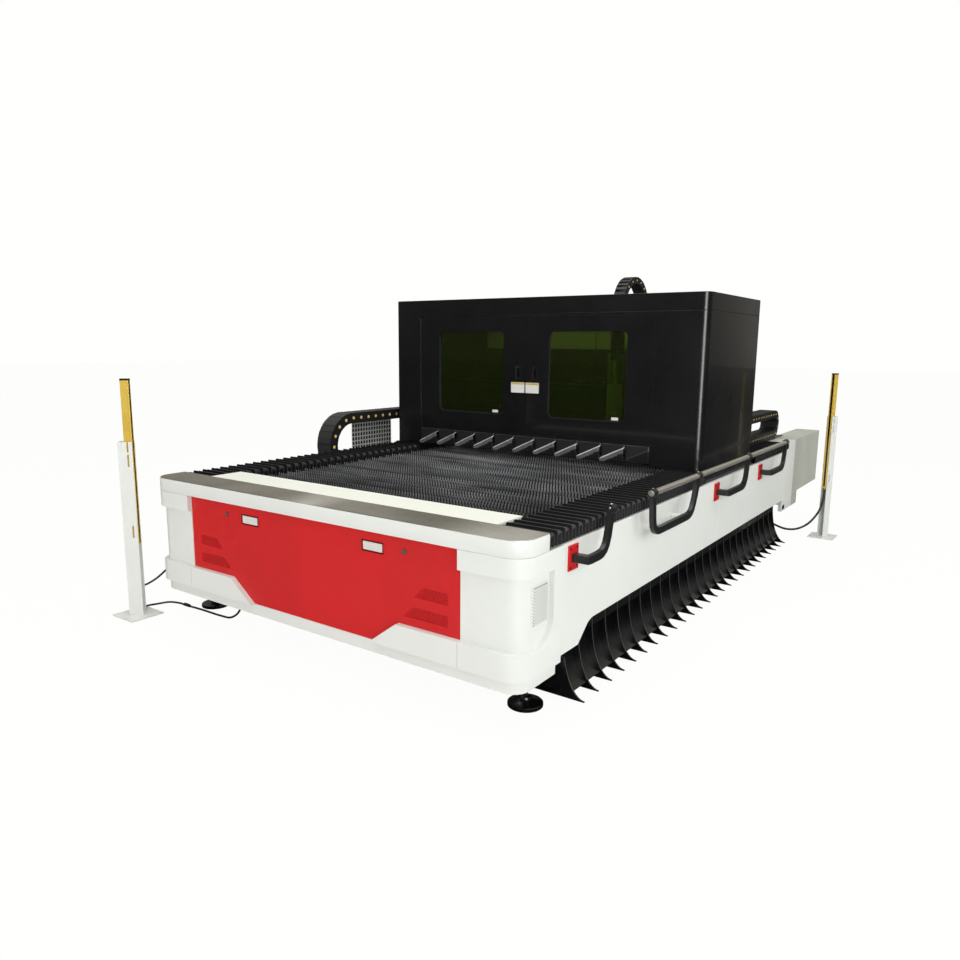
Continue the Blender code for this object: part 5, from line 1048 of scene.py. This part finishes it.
# %% Chain guard
# Holes along and up the plate, each one's rim as a share of its pitch, and the rim round the dark
# sheet.
HOLES_LONG, HOLES_HIGH, HOLE_BAR, BACKING_RIM = 15, 12, 0.21, 5 * MM
low, high = span("chain_guard")
bm = bmesh.new()
grid = bmesh.ops.create_grid(bm, x_segments=HOLES_LONG, y_segments=HOLES_HIGH, size=0.5)
for v in grid["verts"]:
    v.co = (low.x, low.y + (v.co.x + 0.5) * (high.y - low.y),
            low.z + (v.co.y + 0.5) * (high.z - low.z))
bm.normal_update()
cells = bm.faces[:]
bmesh.ops.inset_individual(bm, faces=cells, thickness=(high.y - low.y) / HOLES_LONG * HOLE_BAR)
bmesh.ops.delete(bm, geom=cells, context="FACES")
thicken(bm, bm.faces[:], (high.x - low.x, 0, 0))
piece("chain_guard_plate", bm, white, "machine", ("chain_guard",))
# A dark sheet just behind the plate makes the holes read dark.
bm = bmesh.new()
block(bm, (low.x + 0.4 * MM, low.y + BACKING_RIM, low.z + BACKING_RIM),
      (low.x + 1.2 * MM, high.y - BACKING_RIM, high.z - BACKING_RIM))
piece("chain_guard_dark_backing", bm, rubber, "machine")

# %% [markdown]
# ## Handrail arms
# Each arm is one solid with its red mounting plate. After dressing, faces near the panel take the
# red finish, which a second material slot and a test on their place do without cutting the solid.
# The root of the handle loop turns white in the same way. Bolt heads and the tube's end plugs are
# domed, so each is a short profile spun round its axis, where a plain cylinder would look cut off.

# %% Handrail arms
def recolour(made, finish, reach):
    """Gives a second finish to the faces that lie within a reach of the side panel."""
    made.data.materials.append(finish)
    for face in made.data.polygons:
        if face.center.x < PLACE.x + HALF + reach:
            face.material_index = 1


for number in (1, 2, 3):
    recolour(dressed(f"handrail_arm_{number}", abs_black, 2.5 * MM), red, 8.3 * MM)
recolour(bpy.data.objects["handle_loop_dressed"], white, 0.066)

# %% Bolts and tube ends
# Half an arm's width along the tube, and the height of the middle of the mounting plates.
ARM_HALF, MOUNT_Z = 0.019, 0.69
low, high = span("handrail_tube")
tube_x, tube_z = (low.x + high.x) / 2, (low.z + high.z) / 2
bm = bmesh.new()
heads = [span("handle_loop")[0].y + ARM_HALF, span("handle_loop")[1].y - ARM_HALF, 0.62, 2.74,
         3.74]
for y in heads:
    lathe(bm, in_mm((0, 2.4), (3, 2.2), (5.5, 1.2), (6.5, 0), (6.5, -2), (0, -2)),
          (tube_x, y, tube_z + 0.0232), sides=16)
for y in (heads[0] - ARM_HALF, heads[2] - ARM_HALF):
    lathe(bm, in_mm((0, 2.0), (4, 1.6), (6, 0.4), (6.5, -0.5), (6.5, -2), (0, -2)),
          (tube_x, y, tube_z + 5 * MM), (0, -1, 0), sides=24)
piece("handrail_bolts", bm, zinc, "machine", sharp=50)
bm = bmesh.new()
for y in (0.41, 2.35, 3.35):
    for dy, dz in ((-0.03, 0.043), (0.03, 0.043), (-0.03, -0.043), (0.03, -0.043)):
        drum(bm, (HALF + 7 * MM, y + dy, MOUNT_Z + dz), (1, 0, 0), 5.5 * MM, 3.5 * MM, sides=6)
piece("handrail_plate_bolts", bm, dark_screw, "machine", bevel=0.4 * MM)

# %% [markdown]
# ## Levelling feet
# A foot is a round cast pad with a domed top, a threaded stem and a lock nut. It is a turned part,
# so its profile is drawn once and spun, and the thread is a stack of small ridges.

# %% Feet
# Radii of the stem over and under its thread, the thread's pitch, and the nut's height.
STEM, STEM_ROOT, THREAD, NUT = 12 * MM, 10.8 * MM, 3 * MM, 14 * MM
for node in ("foot_front_left", "foot_front_right", "foot_rear_left", "foot_rear_right"):
    low, high = span(node)
    centre = ((low.x + high.x) / 2, (low.y + high.y) / 2, 0)
    radius = (high.x - low.x) / 2
    bm = bmesh.new()
    profile = [(0, 0), (radius - 2 * MM, 0), (radius, 2 * MM), (radius, 16 * MM),
               (radius - 3 * MM, 19 * MM), (radius * 0.80, 21 * MM), (radius * 0.50, 27 * MM),
               (radius * 0.34, 36 * MM), (radius * 0.30, 44 * MM), (0.016, 48 * MM)]
    z = 50 * MM
    while z < high.z - 20 * MM:
        profile += [(STEM, z), (STEM_ROOT, z + THREAD / 2)]
        z += THREAD
    profile += [(STEM, high.z - 16 * MM), (STEM, high.z), (0, high.z)]
    lathe(bm, profile, centre, sides=40)
    piece(f"{node}_pad", bm, gloss_black, "machine", (node,), sharp=30)
    bm = bmesh.new()
    drum(bm, (centre[0], centre[1], high.z - 16 * MM), (0, 0, 1), 21 * MM, NUT, sides=6)
    piece(f"{node}_nut", bm, zinc, "machine", bevel=1 * MM)

# %% [markdown]
# ## Light curtains
# Each curtain is a yellow aluminium stick with a dark lens strip down its face and a black cap.
# Both stand in a turned channel, so the pieces are drawn upright and turned with the post's matrix.

# %% Lens strips and caps
for title, spot in (("left", left_post), ("right", right_post)):
    bm = bmesh.new()
    block(bm, (0.0395, -8.5 * MM, 0.445), (0.0402, 8.5 * MM, 1.393))
    bmesh.ops.transform(bm, matrix=spot, verts=bm.verts)
    piece(f"light_curtain_{title}_lens", bm, lens_black, "machine")
    bm = bmesh.new()
    block(bm, (-0.0063, -0.0182, 1.3935), (0.0403, 0.0182, 1.4048))
    bmesh.ops.transform(bm, matrix=spot, verts=bm.verts)
    piece(f"light_curtain_{title}_cap", bm, abs_black, "machine", bevel=1 * MM)

# %% [markdown]
# ## Small fixings and the connector
# Screws on the louvre frame and the rear cabinet, corner brackets on the rear cover and a cable
# connector are tiny, but they give the eye its scale. One mesh holds all screws of a kind.

# %% Screws
# The louvre frame's screws: how many, the lowest one's height and the step to the next.
SCREWS, SCREW_LOW, SCREW_STEP = 12, 0.456, 0.0138
bm = bmesh.new()
for number in range(SCREWS):
    lathe(bm, in_mm((0, 1.2), (1.6, 0.9), (2.2, 0), (2.2, -1), (0, -1)),
          (HALF - 0.0214, 0.1125, SCREW_LOW + SCREW_STEP * number), (1, 0, 0), sides=10)
piece("louvre_screws", bm, zinc, "machine", sharp=50)
bm = bmesh.new()
cabinet_side = span("rear_cabinet")[1].x - 0.5 * MM
for y, heights in ((4.46, (0.80, 0.66, 0.50, 0.39)), (5.31, (0.80, 0.66, 0.50, 0.39)),
                   (4.88, (0.80, 0.39))):
    for z in heights:
        lathe(bm, in_mm((0, 1.5), (3.5, 1.0), (4.5, 0), (4.5, -1), (0, -1)),
              (cabinet_side, y, z), (1, 0, 0), sides=12)
piece("rear_cabinet_screws", bm, dark_screw, "machine", sharp=50)

# %% Brackets and connector
bm = bmesh.new()
for side in (-1, 1):
    for z_low, z_high in ((0.262, 0.30), (0.775, 0.815)):
        edges = sorted((side * (HALF - 1.5 * MM), side * HALF))
        block(bm, (edges[0], 4.125, z_low), (edges[1], 4.20, z_high))
piece("rear_cover_brackets", bm, grey, "machine", bevel=0.4 * MM)
bm = bmesh.new()
plug_x, plug_y = -HALF + 0.026, 0.158
drum(bm, (plug_x - 0.024, plug_y, 0.0105), (1, 0, 0), 10 * MM, 48 * MM, sides=20)
drum(bm, (plug_x - 0.032, plug_y, 0.0085), (1, 0, 0), 8 * MM, 64 * MM, sides=20)
piece("cable_connector", bm, pvc, "machine", bevel=1.5 * MM)

# %% [markdown]
# ## The cutting head
# Behind the green glass hangs the cutting head: a milled body with drawers for its lenses, a
# collimator on top, a cone and a copper nozzle. Only its outline shows, but an opened door shows it
# all, so it is built from turned and milled shapes inside the CAD solid's space.

# %% Cutting head
HEAD_X, SLIDE_FRONT, SLIDE_HALF = 0.44, 2.60696, 0.06
head_y = SLIDE_FRONT - 0.045
bm = bmesh.new()
block(bm, (HEAD_X - SLIDE_HALF, SLIDE_FRONT, 1.12),
      (HEAD_X + SLIDE_HALF, span("cutting_head")[1].y, 1.60))
piece("cutting_head_slide", bm, grey, "cutting_head", ("cutting_head",), bevel=2 * MM)
bm = bmesh.new()
for low_z, high_z, half in ((1.02, 1.10, 0.040), (1.104, 1.16, 0.045), (1.164, 1.22, 0.045),
                            (1.224, 1.34, 0.042)):
    outline = rounded((HEAD_X - half, head_y - half), (HEAD_X + half, head_y + half - 1 * MM),
                      10 * MM)
    prism(bm, outline, "Z", low_z, high_z)
piece("cutting_head_body", bm, white, "cutting_head", bevel=1.5 * MM)
bm = bmesh.new()
for profile in ([(0, 1.34), (0.034, 1.34), (0.034, 1.40), (0.030, 1.41), (0.030, 1.50),
                 (0.024, 1.52), (0, 1.52)],
                [(0, 0.912), (0.017, 0.912), (0.0275, 1.0), (0.0275, 1.02), (0, 1.02)]):
    lathe(bm, profile, (HEAD_X, head_y, 0))
for z in (1.132, 1.192):
    drum(bm, (HEAD_X, head_y - 0.0445, z), (0, -1, 0), 8 * MM, 0.4 * MM, sides=20)
piece("cutting_head_turned_parts", bm, stainless, "cutting_head", bevel=0.8 * MM)
bm = bmesh.new()
lathe(bm, [(0, 0.8555), (2.2 * MM, 0.8555), (4.2 * MM, 0.866), (11 * MM, 0.885),
           (11 * MM, 0.898), (0, 0.898)], (HEAD_X, head_y, 0), sides=28)
piece("cutting_head_nozzle", bm, copper, "cutting_head", sharp=40)
bm = bmesh.new()
lathe(bm, [(0, 0.897), (15 * MM, 0.897), (16.5 * MM, 0.9), (16.5 * MM, 0.913), (0, 0.913)],
      (HEAD_X, head_y, 0), sides=28)
piece("cutting_head_ceramic", bm, label_white, "cutting_head", sharp=40)

# %% [markdown]
# ## Floor and light
# A studio floor and a pale backdrop keep the white machine readable. A large soft light overhead
# gives the bands under the cap and the bright folds of the flaps. Fills from the front and the
# right lift what faces them, a strip gives the corner its gloss, a small lamp lights the inside,
# and a gentle world fills the rest. The camera sees a near-white backdrop, while the gloss reflects
# a dimmer room.

# %% Stage
# How much of the floor the camera sees as plain glow, the world's strength, and half the floor.
FLOOR_GLOW, ROOM_LIGHT, FLOOR_HALF = 0.97, 0.66, 60
bm = bmesh.new()
bmesh.ops.create_grid(bm, x_segments=1, y_segments=1, size=FLOOR_HALF)
mesh = bpy.data.meshes.new("floor")
bm.to_mesh(mesh)
bm.free()
floor = link("floor", mesh)
floor_paint = surface("pale_studio_floor", "F4F4F2", 0.75, bump=0.0, cloud=2.0, specular=0.1)
tree = floor_paint.node_tree
ray = add(tree, "ShaderNodeLightPath")
glow = add(tree, "ShaderNodeEmission", {"Color": linear("FFFFFD"), "Strength": 1.0})
dim = add(tree, "ShaderNodeBsdfDiffuse", {"Color": linear("3E3F40")})
shader = tree.nodes["Principled BSDF"]
lit = add(tree, "ShaderNodeMixShader", {0: FLOOR_GLOW, 1: shader.outputs[0], 2: glow.outputs[0]})
pale = add(tree, "ShaderNodeMixShader", {0: ray.outputs["Is Glossy Ray"], 1: shader.outputs[0],
                                         2: dim.outputs[0]})
shown = add(tree, "ShaderNodeMixShader", {0: ray.outputs["Is Camera Ray"], 1: pale.outputs[0],
                                          2: lit.outputs[0]})
tree.links.new(shown.outputs[0], tree.nodes["Material Output"].inputs["Surface"])
mesh.materials.append(floor_paint)
floor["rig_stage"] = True

world = bpy.data.worlds.new("studio")
bpy.context.scene.world = world
world.use_nodes = True
tree = world.node_tree
ray = add(tree, "ShaderNodeLightPath")
room = tree.nodes["Background"]
room.inputs["Color"].default_value = linear("EFF0F0")
room.inputs["Strength"].default_value = ROOM_LIGHT
# Gloss sees a dimmer room, paler overhead than at eye level, as in a workshop with roof lights.
way = add(tree, "ShaderNodeSeparateXYZ", {
    "Vector": add(tree, "ShaderNodeTexCoord").outputs["Generated"]})
share = add(tree, "ShaderNodeMapRange", {"Value": way.outputs["Z"], "From Min": 0.05,
                                         "From Max": 0.75, "To Min": 0.07, "To Max": 0.60})
rear = add(tree, "ShaderNodeMapRange", {"Value": way.outputs["Y"], "From Min": 0.3,
                                        "From Max": 1.0, "To Min": 0.0, "To Max": 0.16})
total = add(tree, "ShaderNodeMath", {0: share.outputs["Result"], 1: rear.outputs["Result"]},
            operation="ADD")
mirror = add(tree, "ShaderNodeBackground", {"Color": linear("F4F0E2"),
                                            "Strength": total.outputs[0]})
backdrop = add(tree, "ShaderNodeBackground", {"Color": linear("FFFFFD"), "Strength": 1.0})
unseen = add(tree, "ShaderNodeMixShader", {0: ray.outputs["Is Glossy Ray"], 1: room.outputs[0],
                                           2: mirror.outputs[0]})
both = add(tree, "ShaderNodeMixShader", {0: ray.outputs["Is Camera Ray"], 1: unseen.outputs[0],
                                         2: backdrop.outputs[0]})
tree.links.new(both.outputs[0], tree.nodes["World Output"].inputs["Surface"])


def soft_light(name, place, aim, size, power, in_gloss=True, in_diffuse=True):
    """An area light at a place, turned to a point, both from the front middle."""
    data = bpy.data.lights.new(name, "AREA")
    data.shape, data.size, data.size_y, data.energy = "RECTANGLE", size[0], size[1], power
    made = link(name, data)
    made.location = PLACE + Vector(place)
    made.visible_glossy, made.visible_diffuse = in_gloss, in_diffuse
    made.rotation_euler = (Vector(aim) - Vector(place)).to_track_quat("-Z", "Y").to_euler()


soft_light("overhead", (0.4, 1.0, 5.5), (0.1, 1.6, 0.6), (5.0, 6.0), 195)
soft_light("front_fill", (-1.6, -6.5, 3.0), (-0.3, 1.0, 0.6), (4.0, 2.0), 95, in_gloss=False)
soft_light("right_fill", (7.0, 3.2, 2.8), (1.4, 3.2, 0.7), (4.0, 2.5), 85, in_gloss=False)
soft_light("right_key", (5.0, -1.7, 2.3), (1.25, 2.15, 1.4), (0.8, 2.6), 62, in_gloss=False)
soft_light("corner_strip", (4.0, -1.85, 1.7), (1.25, 2.15, 1.4), (2.4, 2.7), 190, in_diffuse=False)
soft_light("inside", (0.0, 2.62, 1.76), (0.0, 3.2, 1.35), (1.8, 0.10), 1.5, in_gloss=False)
bpy.context.scene.view_settings.view_transform = "Standard"
print("stage done")

# %% Print the sizes and finish
low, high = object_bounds()
print("seen box", [round(c, 4) for c in (*low, *high)])
